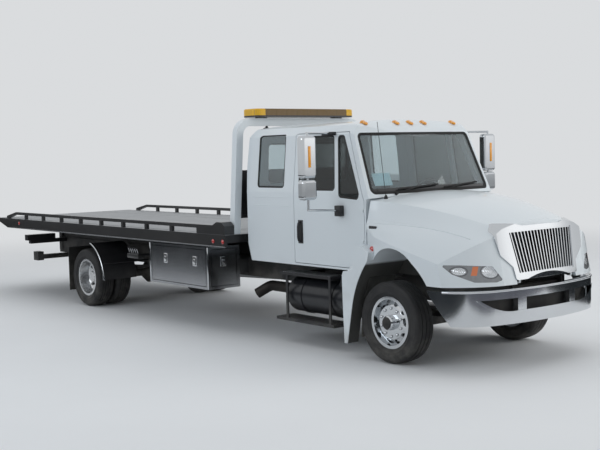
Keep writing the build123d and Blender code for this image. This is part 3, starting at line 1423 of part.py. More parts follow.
# Chassis frame: two channels, crossmembers, hinge plates and hangers
crossmember_stations = (970.0, -1900.0, -2900.0, -4140.0, -5350.0, -7280.0, -8150.0)
crossmember_z = (700.0, 800.0)
with BuildPart() as chassis_frame:
    for side in (-1, 1):
        with BuildSketch(cross_plane(rail_rear_station)) as channel:
            outline(
                [
                    (side * rail_outer_y, rail_bottom), (side * rail_outer_y, rail_top),
                    (side * (rail_outer_y - rail_flange), rail_top),
                    (side * (rail_outer_y - rail_flange), rail_top - rail_plate),
                    (side * (rail_outer_y - rail_plate), rail_top - rail_plate),
                    (side * (rail_outer_y - rail_plate), rail_bottom + rail_plate),
                    (side * (rail_outer_y - rail_flange), rail_bottom + rail_plate),
                    (side * (rail_outer_y - rail_flange), rail_bottom),
                ]
            )
        extrude(channel.sketch, amount=rail_front_station - rail_rear_station)
    web_inner = rail_outer_y - rail_plate
    for station in crossmember_stations:
        block((station - 40, station + 40), (-web_inner, web_inner), (crossmember_z[0], crossmember_z[1]))
    plate_y = (rail_outer_y, rail_outer_y + 14)
    for side in (-1, 1):
        widths = on_side(side, plate_y[0], plate_y[1])
        block((tilt_hinge[0] - 50, tilt_hinge[0] + 50), widths, (rail_bottom + 40, tilt_hinge[1] + 45))
        rod((tilt_hinge[0], side * (carriage_inner_y + 2), tilt_hinge[1]),
            (tilt_hinge[0], side * plate_y[1], tilt_hinge[1]), pin_radius)
        for plate in (tilt_cylinder_y - 67, tilt_cylinder_y + 52):
            widths = on_side(side, plate, plate + 15)
            block((tilt_base[0] - 40, crossmember_stations[3]), widths, (tilt_base[1] - 40, 760))
        rod((tilt_base[0], side * (tilt_cylinder_y - 67), tilt_base[1]),
            (tilt_base[0], side * (tilt_cylinder_y + 67), tilt_base[1]), pin_radius)
        widths = on_side(side, 76, 92)
        block((lift_pivot[0] - 50, crossmember_stations[5]), widths, (lift_pivot[1] - 60, 760))
        rod((rail_front_station - 1, side * 390, 700), (bumper_back(412) - seat_gap, side * 390, 700), 22)
        widths = on_side(side, hood_plate_y[0], hood_plate_y[1])
        block((980, 1050), widths, (rail_bottom + 60, hood_hinge[1] + 14))
        block((1000, hood_hinge[0]), widths, (hood_hinge[1] - 12, hood_hinge[1] + 14))
        rod((hood_hinge[0], widths[0], hood_hinge[1]), (hood_hinge[0], widths[1], hood_hinge[1]),
            hood_plate_radius)
        rod((hood_hinge[0], side * hood_plate_y[0], hood_hinge[1]),
            (hood_hinge[0], side * hood_lug_y[1], hood_hinge[1]), hinge_pin_radius)
        for mount_station in (-620, -2300):
            rod((mount_station, side * 392, rail_top), (mount_station, side * 392, cab_bottom - seat_gap), 40)
    cross_rod(lift_pivot[0], 92, lift_pivot[1], pin_radius)
keep(chassis_frame, "chassis_frame")
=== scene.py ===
# %% [markdown]
# # Rollback tow truck
#
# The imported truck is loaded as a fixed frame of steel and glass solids. This lesson gives every
# solid its surface, adds the small pieces that ride on it, and sets the light, floor and camera.
# Lengths are metres, +X ahead, +Y to the driver's left, +Z up, with the ground at Z = 0.

from math import cos, exp, pi, radians, sin, sqrt

import bmesh
import bpy
from mathutils import Matrix, Vector
from mathutils.bvhtree import BVHTree


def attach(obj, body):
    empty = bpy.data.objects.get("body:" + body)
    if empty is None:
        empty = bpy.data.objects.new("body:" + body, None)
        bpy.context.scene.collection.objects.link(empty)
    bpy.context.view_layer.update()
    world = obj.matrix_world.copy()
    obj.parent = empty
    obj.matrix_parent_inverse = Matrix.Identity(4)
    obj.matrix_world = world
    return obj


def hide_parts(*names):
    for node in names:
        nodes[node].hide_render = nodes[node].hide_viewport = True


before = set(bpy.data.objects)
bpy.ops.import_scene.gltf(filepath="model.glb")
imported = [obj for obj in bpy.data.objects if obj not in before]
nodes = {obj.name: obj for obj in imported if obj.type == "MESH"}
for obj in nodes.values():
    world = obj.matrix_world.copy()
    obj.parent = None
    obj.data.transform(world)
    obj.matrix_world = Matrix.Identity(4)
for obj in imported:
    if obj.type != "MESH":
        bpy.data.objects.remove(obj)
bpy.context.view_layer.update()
scene = bpy.context.scene

# %% [markdown]
# ## Where things are
#
# Places along the truck are stations: distances ahead of the front axle. The cab's walls lean in
# above the waist and the windshield is one bent sheet, so two small functions say where they are.
# Everything else that has to sit on a surface is dropped on to it by a ray.

# %% Places
FRONT_AXLE = 3.970
REAR_AXLE = -6.160
TYRE_RADIUS = 0.417
CAB_HALF_WIDTH = 0.945
CAB_HEADER_HALF_WIDTH = 0.885
WAIST = 1.700
HEADER = 2.330
DECK_TOP = 1.196
BED_HALF_WIDTH = 1.230
HOOP = -2.610
BESIDE = 1.5
ABOVE = 3.0
SIDES = (("right", -1), ("left", 1))


def at(station):
    """World X of a station."""
    return FRONT_AXLE + station


def places(stations):
    """World X of each station."""
    return [at(station) for station in stations]


def around(middle, half):
    """Low and high end of a length about its middle."""
    return (middle - half, middle + half)


def span(side, inner, outer):
    """Two distances out from the middle, as low and high Y on one side."""
    return sorted((side * inner, side * outer))


def circle(count, radius=1.0, start=0.0):
    """Points evenly round a circle, as distances along two lines."""
    turns = [2 * pi * (index + start) / count for index in range(count)]
    return [(radius * cos(turn), radius * sin(turn)) for turn in turns]


def cab_side(height):
    """Half width of the cab's outer wall at a height."""
    share = max(0.0, (height - WAIST) / (HEADER - WAIST))
    return CAB_HALF_WIDTH - share * (CAB_HALF_WIDTH - CAB_HEADER_HALF_WIDTH)


print("front axle", at(0.0), "cab half width at the header", cab_side(HEADER))

# %% The bent windshield
SCREEN_BASE = Vector((at(-0.262), 0.0, 1.672))
SCREEN_RUN = Vector((-0.293, 0.0, 0.671)).normalized()
SCREEN_OUT = Vector((SCREEN_RUN.z, 0.0, -SCREEN_RUN.x))
SCREEN_BOW = 5.154


def screen_point(y, height, out=0.0):
    """Point on the windshield's outer surface at a width and a height."""
    drop = sqrt(SCREEN_BOW**2 - y**2) - SCREEN_BOW + out
    along = (height - SCREEN_BASE.z - drop * SCREEN_OUT.z) / SCREEN_RUN.z
    return SCREEN_BASE + along * SCREEN_RUN + drop * SCREEN_OUT + Vector((0.0, y, 0.0))


print("windshield foot", screen_point(0.0, 1.69))

# %% Dropping a point on to a solid
trees = {}


def land(node, start, direction):
    """Where a ray first meets a solid of the frame, with the surface's normal there."""
    if node not in trees:
        mesh = nodes[node].data
        corners = [vertex.co for vertex in mesh.vertices]
        trees[node] = BVHTree.FromPolygons(corners, [face.vertices for face in mesh.polygons])
    point, normal, _, _ = trees[node].ray_cast(Vector(start), Vector(direction).normalized())
    if point is None:
        raise ValueError(f"nothing of {node} lies along {direction} from {start}")
    return point, normal


def on_flank(node, side, station, height, out=0.0):
    """Point on a solid's outer side, found by a ray from beside the truck."""
    point, normal = land(node, (at(station), side * BESIDE, height), (0, -side, 0))
    return point + normal * out


def on_top(node, station, width):
    """Point on a solid's top and the normal there."""
    return land(node, (at(station), width, ABOVE), (0, 0, -1))


print("hood top at the middle", on_top("hood", 0.3, 0.0)[0])

# %% [markdown]
# ## Shader trees
#
# A material is a tree of nodes. Written by hand in Python it is long, so `Wire` holds a node's
# output and lets it be added, multiplied and compared like a number, `Tree` adds a node a call,
# and `Look` is one material. Colours are only mixed, because arithmetic turns a colour grey.

# %% A socket that sums can be written on
def maths(operation, swapped=False):
    """A method for Wire that makes one math node."""

    def method(self, other=0.0):
        first, second = (other, self) if swapped else (self, other)
        return self.tree.node("ShaderNodeMath", {0: first, 1: second}, operation=operation)

    return method


class Wire:
    """A node's output socket with arithmetic."""

    __add__ = __radd__ = maths("ADD")
    __sub__ = maths("SUBTRACT")
    __rsub__ = maths("SUBTRACT", swapped=True)
    __mul__ = __rmul__ = maths("MULTIPLY")
    __truediv__ = maths("DIVIDE")
    __pow__ = maths("POWER")
    __abs__ = maths("ABSOLUTE")
    wave = maths("SINE")
    fraction = maths("FRACT")
    most = maths("MAXIMUM")

    def __init__(self, tree, socket):
        self.tree, self.socket = tree, socket

    def ramp(self, low, high):
        """Smooth step from 0 at low to 1 at high."""
        limits = {"Value": self, "From Min": low, "From Max": high}
        return self.tree.node("ShaderNodeMapRange", limits, interpolation_type="SMOOTHSTEP")

    def band(self, low, high, soft):
        """1 between low and high with soft edges, 0 outside."""
        return self.ramp(low - soft, low) * (1.0 - self.ramp(high, high + soft))


# %% Trees and materials
ALL_WAYS = (1.0, 1.0, 1.0)


class Tree:
    """A node tree written one call a node."""

    def __init__(self, tree):
        self.tree = tree

    def node(self, kind, values=None, output=0, **settings):
        """Add a node, set it, give its sockets values or wires, and return one output."""
        made = self.tree.nodes.new(kind)
        for key, value in settings.items():
            setattr(made, key, value)
        for key, value in (values or {}).items():
            if isinstance(value, Wire):
                self.tree.links.new(value.socket, made.inputs[key])
            else:
                made.inputs[key].default_value = value
        return Wire(self, made.outputs[output])


class Look(Tree):
    """One material's node tree."""

    def __init__(self, name):
        self.material = bpy.data.materials.new(name)
        self.material.use_nodes = True
        super().__init__(self.material.node_tree)
        self.tree.nodes.clear()
        self.place = self.node("ShaderNodeTexCoord", output="Object")

    def axis(self, letter):
        return self.node("ShaderNodeSeparateXYZ", {0: self.place}, letter)

    def vector(self, operation, first, second=(0.0, 0.0, 0.0), output=0):
        return self.node("ShaderNodeVectorMath", {0: first, 1: second}, output, operation=operation)

    def from_point(self, point, squash=ALL_WAYS):
        """Distance from a point, with each axis scaled by squash."""
        offset = self.vector("SUBTRACT", self.place, point)
        return self.vector("LENGTH", self.vector("MULTIPLY", offset, squash), output="Value")

    def noise(self, scale, detail=4.0, rough=0.55, stretch=ALL_WAYS):
        vector = self.vector("MULTIPLY", self.place, stretch)
        values = {"Vector": vector, "Scale": scale, "Detail": detail, "Roughness": rough}
        return self.node("ShaderNodeTexNoise", values)

    def mix(self, share, first, second):
        return self.node("ShaderNodeMix", {0: share, 6: first, 7: second}, 2, data_type="RGBA")

    def blend(self, share, first, second):
        """Two whole shaders mixed."""
        return self.node("ShaderNodeMixShader", {0: share, 1: first, 2: second})

    def shader(self, colour, rough, metallic=0.0, height=None, depth=0.001, **constants):
        """Principled shader; constants are named with _ where the socket has a space."""
        values = {"Base Color": colour, "Roughness": rough, "Metallic": metallic}
        values.update({key.replace("_", " "): value for key, value in constants.items()})
        if height is not None:
            values["Normal"] = self.node("ShaderNodeBump", {"Distance": depth, "Height": height})
        return self.node("ShaderNodeBsdfPrincipled", values)

    def finish(self, shader):
        end = self.tree.nodes.new("ShaderNodeOutputMaterial")
        self.tree.links.new(shader.socket, end.inputs[0])
        return self.material

    def surface(self, *args, **kwargs):
        """One principled shader as the whole material."""
        return self.finish(self.shader(*args, **kwargs))


def rgb(red, green, blue):
    return (red, green, blue, 1.0)


def shade(colour, factor, lift=0.0):
    """A colour scaled and lifted in plain numbers."""
    return rgb(*[min(1.0, factor * value + lift) for value in colour[:3]])


# %% [markdown]
# ## Road dust
#
# A working truck is cleanest at its roof and greyest at its steps. Dust is therefore one mask for
# every finish: it falls off with height and is broken up by noise.

# %% Dust
DUST = rgb(0.34, 0.32, 0.28)


def dust_mask(look, share, top):
    """Share of dust, thick low down and patchy, thin above top."""
    low = 1.0 - look.axis("Z").ramp(0.15, top)
    patch = look.noise(3.5).ramp(0.32, 0.72)
    return low * patch * share + look.noise(1.1).ramp(0.5, 0.8) * 0.05 * share


print("dust colour", DUST)

# %% [markdown]
# ## Paint
#
# The cab and hood are sprayed a white that leans to blue. Real paint is never one tone: it fades
# in soft clouds, has fine orange peel under its clear coat, and keeps dust in its low corners.
# Inside the front wheel arches no one polishes it, so there it turns near black: dark road film,
# and painted shade where the arch keeps the light off.

# %% Paints
ARCH = (at(0.0), 0.0, TYRE_RADIUS)
ARCH_REACH = 0.640
ARCH_OUTER_Y = 1.098


def paint(name, colour, rough=0.32, coat=0.5, dust=0.35, top=0.9):
    """Sprayed paint with a little orange peel, fading and road dust."""
    look = Look(name)
    tone = look.noise(0.9, 3.0).ramp(0.25, 0.8)
    faded = look.mix(tone * 0.10, colour, shade(colour, 0.82, 0.10))
    veil = dust_mask(look, dust, top)
    return look.surface(
        look.mix(veil, faded, DUST), rough + look.noise(6.0) * 0.10 + veil * 0.3,
        height=look.noise(260.0, 2.0), depth=0.0002, Coat_Weight=coat, Coat_Roughness=0.06,
    )


def body_white():
    """White body paint, near black inside the front wheel arches: road film and painted shade."""
    look = Look("white_paint")
    tone = look.noise(0.8, 3.0).ramp(0.25, 0.8)
    faded = look.mix(tone * 0.14, rgb(0.70, 0.755, 0.79), rgb(0.76, 0.79, 0.81))
    veil = dust_mask(look, 0.45, 1.15)
    # Inside the front arches the colour goes near black: road film, and painted shade where the
    # arch hides the light.
    inside = 1.0 - look.from_point(ARCH, (1.0, 0.0, 1.0)).ramp(ARCH_REACH - 0.02, ARCH_REACH)
    inside = inside * (1.0 - abs(look.axis("Y")).ramp(ARCH_OUTER_Y, ARCH_OUTER_Y + 0.006))
    film_and_shade = look.mix(look.noise(5.0, 5.0), rgb(0.035, 0.036, 0.034), rgb(0.085, 0.085, 0.078))
    return look.surface(
        look.mix(inside, look.mix(veil, faded, DUST), film_and_shade),
        0.30 + look.noise(5.0) * 0.10 + inside * 0.45 + veil * 0.25,
        height=look.noise(240.0, 2.0), depth=0.0002, Coat_Weight=0.55, Coat_Roughness=0.05,
    )


looks = {
    "white": body_white(),
    "black": paint("black_paint", rgb(0.010, 0.010, 0.011), 0.30, 0.4, 0.30),
    "frame": paint("frame_paint", rgb(0.012, 0.012, 0.013), 0.5, 0.1, 0.55, 1.1),
}
print("paints", list(looks))

# %% [markdown]
# ## Bare and plated metal
#
# Chrome, polished sheet, machined steel and cast iron are one recipe with different numbers: a
# metal whose roughness wanders in smears, fine grain stretched along the direction it was
# finished in, and dust that also takes away some of the metal's mirror.

# %% Metals
UPRIGHT = (1.0, 1.0, 0.06)
TURNED = (1.0, 0.05, 1.0)


def metal(name, colour, rough, spread=0.12, grain=ALL_WAYS, dust=0.3, top=0.8, depth=0.0002):
    """Bare or plated metal with smears, grain along one axis and a little dust."""
    look = Look(name)
    smear = look.noise(2.2, 6.0, 0.65)
    lines = look.noise(90.0, 3.0, 0.6, grain)
    tinted = look.mix(smear * 0.25, colour, shade(colour, 0.72))
    veil = dust_mask(look, dust, top)
    return look.surface(
        look.mix(veil, tinted, DUST), smear * spread + rough + lines * 0.08,
        metallic=1.0 - veil * 0.9, height=lines, depth=depth,
    )


looks.update({
    "chrome": metal("chrome_plate", rgb(0.66, 0.68, 0.70), 0.03, 0.05, dust=0.10, depth=0.00005),
    "polished": metal("polished_sheet", rgb(0.44, 0.45, 0.47), 0.10, 0.12, UPRIGHT, 0.3),
    "wheel": metal("wheel_alloy", rgb(0.74, 0.75, 0.76), 0.13, 0.12, dust=0.30, top=0.6),
    "steel": metal("machined_steel", rgb(0.50, 0.50, 0.51), 0.24, 0.2, TURNED),
    "cast": metal("cast_iron", rgb(0.07, 0.07, 0.07), 0.5, 0.25, dust=0.6, top=1.2, depth=0.0008),
    "sooty": metal("sooty_pipe", rgb(0.040, 0.036, 0.034), 0.42, 0.25, dust=0.20, depth=0.0006),
    "rod": metal("plated_rod", rgb(0.78, 0.78, 0.80), 0.08, 0.05, dust=0.05, depth=0.00005),
})
print("paints and metals", len(looks))

# %% [markdown]
# ## Plastic, rubber and cloth
#
# Moulded parts have a leather-like grain that scatters the light, so their highlights are wide and
# dull. The grain is fine noise fed to a bump.

# %% Mouldings
def moulded(name, colour, rough=0.55, grain=0.0006, dust=0.4, top=0.9):
    """Grained plastic or rubber."""
    look = Look(name)
    fleck = look.noise(420.0, 2.0)
    worn = look.mix(look.noise(5.0).ramp(0.45, 0.85) * 0.25, colour, shade(colour, 0.7, 0.05))
    veil = dust_mask(look, dust, top)
    return look.surface(look.mix(veil, worn, DUST), rough + fleck * 0.12, height=fleck, depth=grain)


def woven(name, colour, thread=520.0):
    """Seat cloth: two crossing sets of threads, rubbed paler where it is sat on."""
    look = Look(name)
    warp = (look.axis("Y") * thread).wave()
    weft = ((look.axis("X") + look.axis("Z")) * thread).wave()
    weave = warp * weft * 0.5 + 0.5
    rubbed = look.noise(6.0, 4.0).ramp(0.4, 0.8)
    threads = look.mix(weave * 0.5, shade(colour, 0.55), colour)
    return look.surface(
        look.mix(rubbed * 0.25, threads, shade(colour, 1.3, 0.02)), 0.88 + rubbed * 0.06,
        height=weave, depth=0.0006,
    )


looks.update({
    "trim": moulded("grained_trim", rgb(0.016, 0.016, 0.018), 0.42, 0.0004, 0.16, 0.7),
    "arch": moulded("arch_liner", rgb(0.060, 0.062, 0.058), 0.7, 0.0006, 0.5, 1.1),
    "tank": moulded("tank_black", rgb(0.014, 0.015, 0.018), 0.22, 0.0002, 0.16, 0.6),
    "rubber": moulded("black_rubber", rgb(0.010, 0.010, 0.010), 0.6, 0.0004, 0.3),
    "dash": moulded("dash_trim", rgb(0.085, 0.088, 0.092), 0.6, 0.0006, 0.1),
    "cloth": woven("seat_cloth", rgb(0.16, 0.17, 0.19)),
    "card": moulded("pale_card", rgb(0.62, 0.86, 0.92), 0.6, 0.0001, 0.02),
})
print("with mouldings and cloth", len(looks))

# %% [markdown]
# ## Glass and lamps
#
# Window glass is clear with a faint film of dirt. The windshield also has a black printed border
# along its foot, which is a second shader mixed in by height, since transmission itself has to
# stay one number. Lamp lenses are glossy coloured plastic with fine ribs.

# %% Window glass
BORDER_TOP = (1.756, 1.768)


def pane(name, tint, rough=0.015, border=False):
    """Clear sheet glass with a faint film, and for a windshield a black border at its foot."""
    look = Look(name)
    film_and_shade = look.noise(1.6, 5.0).ramp(0.45, 0.9)
    glass = look.shader(
        look.mix(film_and_shade * 0.2, tint, rgb(0.62, 0.66, 0.66)), film_and_shade * 0.05 + rough,
        Transmission_Weight=0.92, IOR=1.48,
    )
    if not border:
        return look.finish(glass)
    print_tone = look.mix(look.noise(60.0), rgb(0.008, 0.008, 0.009), rgb(0.015, 0.015, 0.016))
    printed = look.shader(print_tone, 0.12, Coat_Weight=0.8)
    foot = 1.0 - (look.axis("Z") + abs(look.axis("Y")) * 0.02).ramp(*BORDER_TOP)
    front = look.axis("X").ramp(at(-0.62), at(-0.61))
    return look.finish(look.blend(foot * front, glass, printed))


looks["glass"] = pane("side_glass", rgb(0.06, 0.075, 0.075))
looks["screen"] = pane("screen_glass", rgb(0.74, 0.82, 0.84), border=True)
print("panes done")

# %% Lamp lenses
def lamp_glass(name, colour, ribs=160.0):
    """Coloured lamp lens with fine ribs under a clear coat."""
    look = Look(name)
    rib = (look.axis("Z") * ribs * 2.0).wave() * 0.5 + 0.5
    deep = look.mix(rib * 0.35, colour, shade(colour, 0.55))
    return look.surface(deep, 0.16 + rib * 0.06, height=rib, depth=0.0004, Coat_Weight=1.0)


looks["amber"] = lamp_glass("amber_lens", rgb(0.90, 0.36, 0.02))
looks["red"] = lamp_glass("red_lens", rgb(0.50, 0.015, 0.012))
looks["clear"] = lamp_glass("clear_lens", rgb(0.70, 0.72, 0.74), 60.0)
print("lenses done")

# %% [markdown]
# ## Headlights
#
# Each headlight is one swept-back clear cover. Behind it a dark bezel holds a big silver bowl
# towards the nose, a smaller bowl beyond it, and an upright amber piece between them. The cover is
# thick and shiny, so the bowls can be drawn under its clear coat as distances from their centres.

# %% Headlight bowls
BOWLS = [
    # half width and height of the centre, radius
    (0.735, 0.985, 0.068),
    (0.985, 0.995, 0.046),
]
AMBER_Y = 0.872
AMBER_HALF = 0.022


def headlight():
    """Silver bowls and an amber strip under a glossy cover, drawn alike on both sides."""
    look = Look("headlight_cover")
    width, height = abs(look.axis("Y")), look.axis("Z")
    layers = look.mix(look.noise(30.0), rgb(0.16, 0.17, 0.18), rgb(0.26, 0.27, 0.28))
    bright, relief = 0.0, 0.0
    for middle, level, radius in BOWLS:
        aside, rise = width - middle, height - level
        off = (aside * aside * 0.55 + rise * rise) ** 0.5
        bowl = 1.0 - off.ramp(radius - 0.006, radius)
        ring = off.band(radius - 0.010, radius, 0.003)
        # Rings of lighter and darker silver on each bowl are painted reflections of its facets; the
        # same rings also give the bowl its relief.
        facets_and_glints = (off * 620.0).wave() * 0.5 + 0.5
        silver = look.mix(facets_and_glints * 0.6, rgb(0.92, 0.94, 0.96), rgb(0.50, 0.53, 0.56))
        bright = bowl + bright
        relief = bowl * (off * -16.0 + facets_and_glints * 0.2) + relief
        bulb = 1.0 - off.ramp(0.012, 0.017)
        layers = look.mix(bowl, layers, look.mix(bulb, silver, rgb(0.90, 0.92, 0.94)))
        layers = look.mix(ring * 0.8, layers, rgb(0.10, 0.10, 0.11))
    amber = (width + (height - 0.99) * 0.3).band(AMBER_Y - AMBER_HALF, AMBER_Y + AMBER_HALF, 0.003)
    layers = look.mix(amber * height.band(0.955, 1.035, 0.004), layers, rgb(0.66, 0.17, 0.05))
    return look.surface(
        layers, 0.12 + look.noise(9.0) * 0.05, metallic=bright * 0.75 + 0.15, height=relief,
        depth=0.020, Coat_Weight=1.0, Coat_Roughness=0.02,
    )


looks["headlight"] = headlight()
print("headlight bowls", BOWLS)

# %% [markdown]
# ## Deck, light bar, tyres and rope
#
# The bed is one solid: its top is worn grey plate in three strips, its other faces black paint. The
# light bar has bright amber ends and a browner middle, with joints between its lenses. Tyres are
# black where they flex and grey where they meet the road. The winch drum is full of steel rope
# laid in neat turns, which shows as ridges.

# %% Deck plate and light bar
DECK_SEAM_Y = 0.61
BEACON_END_Y = 0.640
BEACON_LENS = 0.160
BEACON_BASE_TOP = 2.598


def deck_plate():
    """Bed: pale worn deck plate above, black paint on every other face."""
    look = Look("bed_surface")
    top = look.axis("Z").ramp(DECK_TOP - 0.0012, DECK_TOP - 0.0004)
    wear = look.noise(2.4, 7.0, 0.65, (0.35, 1.0, 1.0))
    scratch = look.noise(26.0, 5.0, 0.7, (0.12, 1.0, 1.0)).ramp(0.5, 0.72)
    seam = abs(abs(look.axis("Y")) - DECK_SEAM_Y).ramp(0.004, 0.009)
    grey = look.mix(wear, rgb(0.20, 0.21, 0.22), rgb(0.38, 0.39, 0.40))
    grey = look.mix(scratch * 0.4, grey, rgb(0.55, 0.56, 0.57))
    grey = look.mix(seam, rgb(0.05, 0.05, 0.05), grey)
    chalky = look.noise(3.0).ramp(0.4, 0.8) * 0.3
    black = look.mix(chalky, rgb(0.009, 0.009, 0.010), rgb(0.03, 0.029, 0.027))
    return look.surface(
        look.mix(top, black, grey), 0.28 + wear * 0.22 + top * 0.12, metallic=top * 0.35,
        height=scratch * 0.4 + seam, depth=0.0006,
    )


def beacon_glass():
    """Light bar: bright amber at its ends, browner in the middle, with lens ribs."""
    look = Look("light_bar_lens")
    width = abs(look.axis("Y"))
    end = width.ramp(BEACON_END_Y, BEACON_END_Y + 0.006)
    rib = (look.axis("Y") * 330.0).wave() * 0.5 + 0.5
    joint = 1.0 - abs((width / BEACON_LENS).fraction() - 0.5).ramp(0.455, 0.485)
    base = look.axis("Z").ramp(BEACON_BASE_TOP, BEACON_BASE_TOP + 0.002)
    amber = look.mix(end, rgb(0.13, 0.075, 0.018), rgb(0.82, 0.46, 0.01))
    amber = look.mix(rib * 0.35, amber, rgb(0.16, 0.08, 0.006))
    amber = look.mix(joint, rgb(0.10, 0.06, 0.01), amber)
    return look.surface(
        look.mix(base, rgb(0.03, 0.03, 0.03), amber), 0.22 + rib * 0.08,
        height=rib * joint, depth=0.0008, Coat_Weight=0.25,
    )


looks["deck"] = deck_plate()
looks["beacon"] = beacon_glass()
print("surfaces", len(looks))

# %% Tyres and rope
FLANGE_Y = 0.183


def tyre_rubber():
    """Black tyre rubber, greyer low down where it is dusty."""
    look = Look("tyre_rubber")
    fleck = look.noise(180.0, 4.0)
    worn = look.noise(7.0).ramp(0.3, 0.8)
    base = look.mix(worn * 0.5, rgb(0.014, 0.014, 0.015), rgb(0.034, 0.033, 0.032))
    low = 1.0 - look.axis("Z").ramp(0.02, 0.5)
    return look.surface(
        look.mix(low * worn * 0.22, base, DUST), 0.62 + fleck * 0.2, height=fleck, depth=0.0008
    )


def rope_drum():
    """Steel rope laid turn by turn between the drum's bright flanges, with painted shade between
    the turns.
    """
    look = Look("wound_rope")
    turn = (look.axis("Y") * 520.0).wave() * 0.5 + 0.5
    strand = look.noise(240.0, 3.0)
    flange = abs(look.axis("Y")).ramp(FLANGE_Y, FLANGE_Y + 0.002)
    # Each turn runs from dark to light across its width: painted shade in the grooves between turns
    # and a painted highlight on each crest.
    steel = look.mix(turn, rgb(0.10, 0.095, 0.085), rgb(0.42, 0.41, 0.39))
    return look.surface(
        look.mix(flange, steel, rgb(0.20, 0.20, 0.21)), 0.42 + strand * 0.2, metallic=0.8,
        height=turn + strand * 0.3, depth=0.002,
    )


looks["tyre"] = tyre_rubber()
looks["rope"] = rope_drum()
print("surfaces", len(looks))

# %% [markdown]
# ## A surface for every solid
#
# A solid keeps its shape and takes one material. The table names the finish first and then every
# solid that has it, with * for both sides, so a solid left out shows up in the printed list.

# %% Give the solids their surfaces
SOLIDS_OF = {
    "white": "cab_shell door_* hood hoop",
    "black": "side_rails cab_guard winch tail_beam lift_boom lift_crossbar",
    "frame": "chassis_frame tilt_frame tilt_cylinder_barrels",
    "chrome": "front_bumper grille mirror_* front_wheel_*",
    "polished": "toolboxes toolbox_door_* toolbox_end_door_*",
    "wheel": "rear_wheels_*",
    "steel": "lift_stinger driveshaft",
    "sooty": "exhaust",
    "cast": "front_axle rear_axle knuckle_* leaf_springs engine radiator",
    "rod": "slide_rod tilt_cylinder_rods",
    "trim": "battery_box steps quarter_fenders",
    "arch": "splash_panels",
    "tank": "fuel_tank",
    "rubber": "mud_flaps",
    "cloth": "seats",
    "dash": "dashboard",
    "glass": "door_glass_*",
    "screen": "cab_glass",
    "headlight": "headlights",
    "tyre": "front_tyre_* rear_tyres_*",
    "deck": "bed_deck",
    "beacon": "light_bar",
    "rope": "winch_drum",
}
bare = set(nodes)
for finish, words in SOLIDS_OF.items():
    for name in sorted({word.replace("*", side[0]) for word in words.split() for side in SIDES}):
        mesh = nodes[name].data
        mesh.materials.clear()
        mesh.materials.append(looks[finish])
        bare.discard(name)
print("solids without a surface", sorted(bare))

# %% [markdown]
# ## Small pieces
#
# The rest is made in mesh code: a round tube along a route, a profile turned about a line, and a
# bar with softened edges. Each shape is written straight in truck coordinates, so noise and
# distances in its material mean the same thing as on the solids, and `add` makes it ride.

# %% A piece that rides
SHARP = radians(38)
SLOT_OF = {
    "white": "white_paint", "black": "black_paint", "polished": "polished_aluminium",
    "chrome": "bright_metal", "wheel": "bright_metal", "red": "amber", "clear": "amber",
    "card": "trim",
}


def add(name, shape, finish, body="chassis", slot=None):
    """Link a finished shape as one piece that rides on a body; no slot is given to it."""
    bmesh.ops.remove_doubles(shape, verts=shape.verts, dist=1e-6)
    bmesh.ops.recalc_face_normals(shape, faces=shape.faces)
    mesh = bpy.data.meshes.new(name)
    shape.to_mesh(mesh)
    shape.free()
    mesh.shade_smooth()
    mesh.set_sharp_from_angle(angle=SHARP)
    piece = bpy.data.objects.new(name, mesh)
    scene.collection.objects.link(piece)
    mesh.materials.append(looks[finish])
    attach(piece, body)
    slot or SLOT_OF.get(finish, finish)
    return piece


print("slots named by finish", sorted(set(SLOT_OF.values())))

# %% Shapes
def wrap(shape, rings, closed=False):
    """Faces between neighbouring rings of vertices; unless closed, the ends are filled."""
    for near, far in zip(rings, rings[1:] + rings[:1] if closed else rings[1:]):
        for index in range(len(near)):
            shape.faces.new((near[index - 1], near[index], far[index], far[index - 1]))
    if not closed:
        shape.faces.new(rings[0])
        shape.faces.new(rings[-1])


def tube(shape, points, radius, sides=10, closed=False, flat=1.0, out=None):
    """Tube through points; with flat under 1 it is a ribbon whose thin way points out."""
    points = [Vector(point) for point in points]
    count = len(points)
    rings = []
    side = Vector(out) if out else None
    for index, point in enumerate(points):
        before = points[index - 1] if closed or index else point
        after = points[(index + 1) % count] if closed or index < count - 1 else point
        along = (after - before).normalized()
        side = side if side else along.orthogonal()
        side = (side - along * side.dot(along)).normalized()
        other = along.cross(side)
        round_it = [flat * x * side + y * other for x, y in circle(sides)]
        rings.append([shape.verts.new(point + radius * way) for way in round_it])
    wrap(shape, rings[::-1], closed)


def turned(shape, profile, place, along=(0, 1, 0), steps=32, dip=None):
    """Closed profile of (distance along, radius) turned about a line; dip lowers a radius."""
    along = Vector(along).normalized()
    side = along.orthogonal().normalized()
    other = along.cross(side)
    place = Vector(place)
    rings = []
    for step, (x, y) in enumerate(circle(steps)):
        way = x * side + y * other
        ring = []
        for index, (reach, radius) in enumerate(profile):
            drop = dip(step, index) if dip else 0.0
            ring.append(shape.verts.new(place + reach * along + (radius - drop) * way))
        rings.append(ring)
    wrap(shape, rings, closed=True)


def bar(shape, xs, ys, zs, soft=0.003):
    """Bar with softened edges between two X, two Y and two Z."""
    low, high = (Vector(corner) for corner in zip(xs, ys, zs))
    matrix = Matrix.Translation((low + high) / 2) @ Matrix.Diagonal((*(high - low), 1.0))
    made = bmesh.ops.create_cube(shape, size=1.0, matrix=matrix)
    edges = list(dict.fromkeys(edge for vertex in made["verts"] for edge in vertex.link_edges))
    bmesh.ops.bevel(shape, geom=edges, offset=soft, segments=2, profile=0.5, affect="EDGES")


def turned_piece(name, profile, place, along, steps, finish, body="chassis", slot=None):
    """One turned profile as a piece of its own."""
    shape = bmesh.new()
    turned(shape, profile, place, along, steps)
    return add(name, shape, finish, body, slot)


